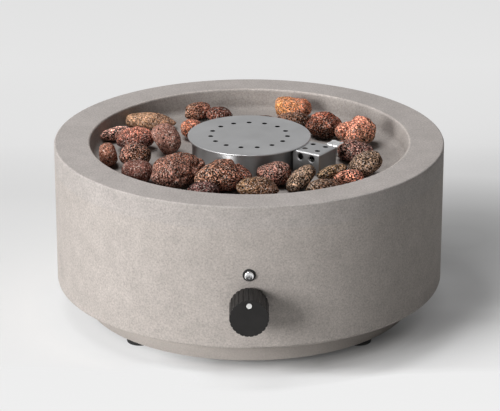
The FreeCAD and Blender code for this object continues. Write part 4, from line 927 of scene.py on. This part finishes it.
def soften(piece, steps):
    change = piece.modifiers.new("worn edges", "SMOOTH")
    change.factor = 0.5
    change.iterations = steps


def remesh(piece, voxel):
    change = piece.modifiers.new("even faces", "REMESH")
    change.mode = "VOXEL"
    change.voxel_size = voxel
    change.use_smooth_shade = True


def apply_modifiers(piece):
    select_only(piece)
    for change in list(piece.modifiers):
        bpy.ops.object.modifier_apply(modifier=change.name)


def points_of(piece):
    points = np.zeros(len(piece.data.vertices) * 3, np.float32)
    piece.data.vertices.foreach_get("co", points)
    return points.reshape(-1, 3)


def corners_of(piece):
    points = points_of(piece)
    return points.min(0), points.max(0)


def fit_between(piece, low, high):
    """Stretches the piece until its box is this one."""
    select_only(piece)
    now_low, now_high = corners_of(piece)
    bpy.ops.object.mode_set(mode="EDIT")
    bpy.ops.mesh.select_all(action="SELECT")
    grow = (high - low) / (now_high - now_low)
    middle = (now_low + now_high) / 2
    bpy.ops.transform.resize(value=grow, center_override=middle)
    bpy.ops.transform.translate(value=(low + high) / 2 - middle)
    bpy.ops.object.mode_set(mode="OBJECT")


def loose_copies(node):
    """Copies of the node's solids, each an object of its own, from left to right."""
    source = frame["nodes"][node]
    copy = source.copy()
    copy.data = source.data.copy()
    copy.parent = None
    # The copy drops the node's labels, so that it isn't taken for the node.
    for key in list(copy.keys()):
        del copy[key]
    bpy.context.scene.collection.objects.link(copy)
    select_only(copy)
    bpy.ops.object.mode_set(mode="EDIT")
    bpy.ops.mesh.select_all(action="SELECT")
    bpy.ops.mesh.remove_doubles(threshold=0.01 * mm)
    bpy.ops.mesh.separate(type="LOOSE")
    bpy.ops.object.mode_set(mode="OBJECT")
    found = list(bpy.context.selected_objects)
    return sorted(found, key=lambda piece: points_of(piece)[:, 0].mean())


def lean_over(piece, lean, slim):
    """Slims the stone from side to side and turns its top to the right."""
    select_only(piece)
    centre = points_of(piece).mean(0)
    bpy.ops.object.mode_set(mode="EDIT")
    bpy.ops.mesh.select_all(action="SELECT")
    bpy.ops.transform.resize(value=(slim, 1, 1), center_override=centre)
    bpy.ops.transform.rotate(value=-math.radians(lean), orient_axis="Y", center_override=centre)
    bpy.ops.object.mode_set(mode="OBJECT")


def cut_flats(piece, draw, flats):
    """Breaks the stone's own flats off it, and a few by chance that face up or sideways."""
    select_only(piece)
    points = points_of(piece)
    centre = points.mean(0)
    chosen = [(np.array(way, float), share) for way, share in flats]
    for _ in range(CHANCE_FLATS):
        way = draw.normal(size=3)
        way[2] = abs(way[2]) * 0.8
        chosen.append((way, draw.uniform(*CHANCE_SHARES)))
    bpy.ops.object.mode_set(mode="EDIT")
    for way, share in chosen:
        way /= np.linalg.norm(way)
        reach = ((points - centre) @ way).max()
        bpy.ops.mesh.select_all(action="SELECT")
        bpy.ops.mesh.bisect(
            plane_co=centre + way * reach * share,
            plane_no=way,
            use_fill=True,
            clear_outer=True,
        )
    bpy.ops.object.mode_set(mode="OBJECT")


def press_fold(piece, low, high, fold):
    """Presses a crease into the stone, deepest along a plane through it, which it wanders off by
    about a millimetre."""
    share, way, depth, width = fold
    middle = (low + high) / 2 + np.array(share) * (high - low) / 2
    way = np.array(way) / np.linalg.norm(way)
    points = points_of(piece)
    off = (points - middle) @ way
    off += 1.2 * mm * np.sin(points[:, 0] / (5 * mm)) + 0.8 * mm * np.sin(points[:, 1] / (3 * mm))
    group = piece.vertex_groups.new(name="fold")
    weights = np.exp(-((off / width) ** 2))
    for index in np.nonzero(weights > 0.02)[0]:
        group.add([int(index)], float(weights[index]), "REPLACE")
    displace(piece, None, -depth, 0.0, "fold")


def shape_stone(piece, stone, low, high):
    """From a smooth egg to a worn, lumpy, porous stone that fills the box from low to high. Each
    vertex keeps how far it sank into a pore, for the finish."""
    draw = np.random.default_rng(stone.number)
    size = float(np.prod(high - low) ** (1 / 3))
    if stone.lean:
        half = np.full(3, size / 2)
        fit_between(piece, -half, half)
        lean_over(piece, stone.lean, stone.slim)
    cut_flats(piece, draw, stone.flats)
    remesh(piece, COARSE)
    soften(piece, TUMBLED)
    displace(piece, LUMPS, stone.lumps * size, 0.5)
    displace(piece, KNUCKLES, KNUCKLE_SHARE * size, 0.5)
    apply_modifiers(piece)
    fit_between(piece, low + INSET, high - INSET)
    remesh(piece, FINE)
    apply_modifiers(piece)
    if stone.number in FOLDS:
        press_fold(piece, low, high, FOLDS[stone.number])
    soften(piece, EASED)
    displace(piece, GRIT, GRIT_HEIGHT, 0.6)
    apply_modifiers(piece)
    before = points_of(piece)
    displace(piece, LARGE_PORES, LARGE_PORE_DEPTH, 1.0)
    displace(piece, SMALL_PORES, PORE_DEPTH, 1.0)
    apply_modifiers(piece)
    sunk = np.linalg.norm(points_of(piece) - before, axis=1) / PORE_DEPTH
    pore = piece.data.attributes.new("pore", "FLOAT", "POINT")
    pore.data.foreach_set("value", np.clip(sunk, 0, 1).astype(np.float32))


def grown_box(piece, stone):
    """The stone's box, grown about its middle, shifted to the right, and standing where it stood."""
    low, high = corners_of(piece)
    middle = (low + high) / 2 + np.array((stone.shift, 0, 0))
    half = (high - low) / 2 * np.array(stone.grow)
    middle[2] = low[2] + half[2]
    return middle - half, middle + half


def make_stones():
    """One rough stone in place of each smooth one, in the same place."""
    for node, stones in STONES.items():
        for piece, stone in zip(loose_copies(node), stones):
            low, high = grown_box(piece, stone)
            shape_stone(piece, stone, low, high)
            piece.name = "stone_%02d" % stone.number
            piece.data.materials.clear()
            piece.data.materials.append(lava(stone, low, high))
            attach(piece, "fire_pit")
            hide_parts(node)


# ---------------------------------------------------------------- the tab and the spring


def make_crumpled_tab():
    """The bright tab behind the hood, bent by hand: the plain strip with dents and small creases."""
    piece = loose_copies("hood_tab")[0]
    low, high = corners_of(piece)
    remesh(piece, TAB_FACES)
    displace(piece, cloud_texture("tab dents", DENT_WIDTH, depth=2), DENT_DEPTH, 0.5)
    soften(piece, 2)
    apply_modifiers(piece)
    fit_between(piece, low + TAB_INSET, high - TAB_INSET)
    piece.name = "crumpled_tab"
    sheet = drawn_metal("crumpled bright sheet", (0.88, 0.88, 0.88), (0.95, 0.95, 0.95), 0.3)
    piece.data.materials.clear()
    piece.data.materials.append(sheet)
    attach(piece, "fire_pit")
    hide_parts("hood_tab")


def make_return_spring():
    """The spring that pushes the knob back out, wound as the plain one is."""
    low, high = (Vector(corner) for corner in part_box("valve_spring"))
    middle = (low + high) / 2
    bpy.ops.mesh.primitive_circle_add(vertices=12, radius=SPRING_WIRE / 2)
    piece = bpy.context.object
    piece.name = "return_spring"
    bpy.ops.object.mode_set(mode="EDIT")
    bpy.ops.mesh.select_all(action="SELECT")
    bpy.ops.transform.translate(value=(middle.x - low.x - SPRING_WIRE / 2, 0, 0))
    bpy.ops.object.mode_set(mode="OBJECT")
    coil = piece.modifiers.new("coil", "SCREW")
    coil.axis = "Y"
    coil.iterations = SPRING_TURNS
    coil.screw_offset = (high.y - low.y - SPRING_WIRE) / SPRING_TURNS
    coil.steps = coil.render_steps = 32
    apply_modifiers(piece)
    bpy.ops.object.mode_set(mode="EDIT")
    bpy.ops.mesh.select_all(action="SELECT")
    bpy.ops.mesh.fill_holes(sides=0)
    bpy.ops.mesh.normals_make_consistent(inside=False)
    bpy.ops.transform.translate(value=(middle.x, low.y + SPRING_WIRE / 2, middle.z))
    bpy.ops.object.mode_set(mode="OBJECT")
    piece.data.materials.append(SLOTS["zinc_steel"])
    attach(piece, "fire_pit")
    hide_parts("valve_spring")
    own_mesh(piece)


# ---------------------------------------------------------------- the whole scene

bpy.context.scene.view_settings.view_transform = "Standard"
add_camera()
add_room_light()
add_soft_box("key_box", turn=47, rise=14, distance=6.0, size=2.8, power=295, tint=(1.0, 0.995, 0.985))
add_soft_box("top_box", turn=90, rise=72, distance=3.0, size=1.8, power=62, tint=(1.0, 1.0, 1.0))
add_floor()
finish_cad_nodes()
make_stones()
make_crumpled_tab()
make_return_spring()

bpy.context.view_layer.update()
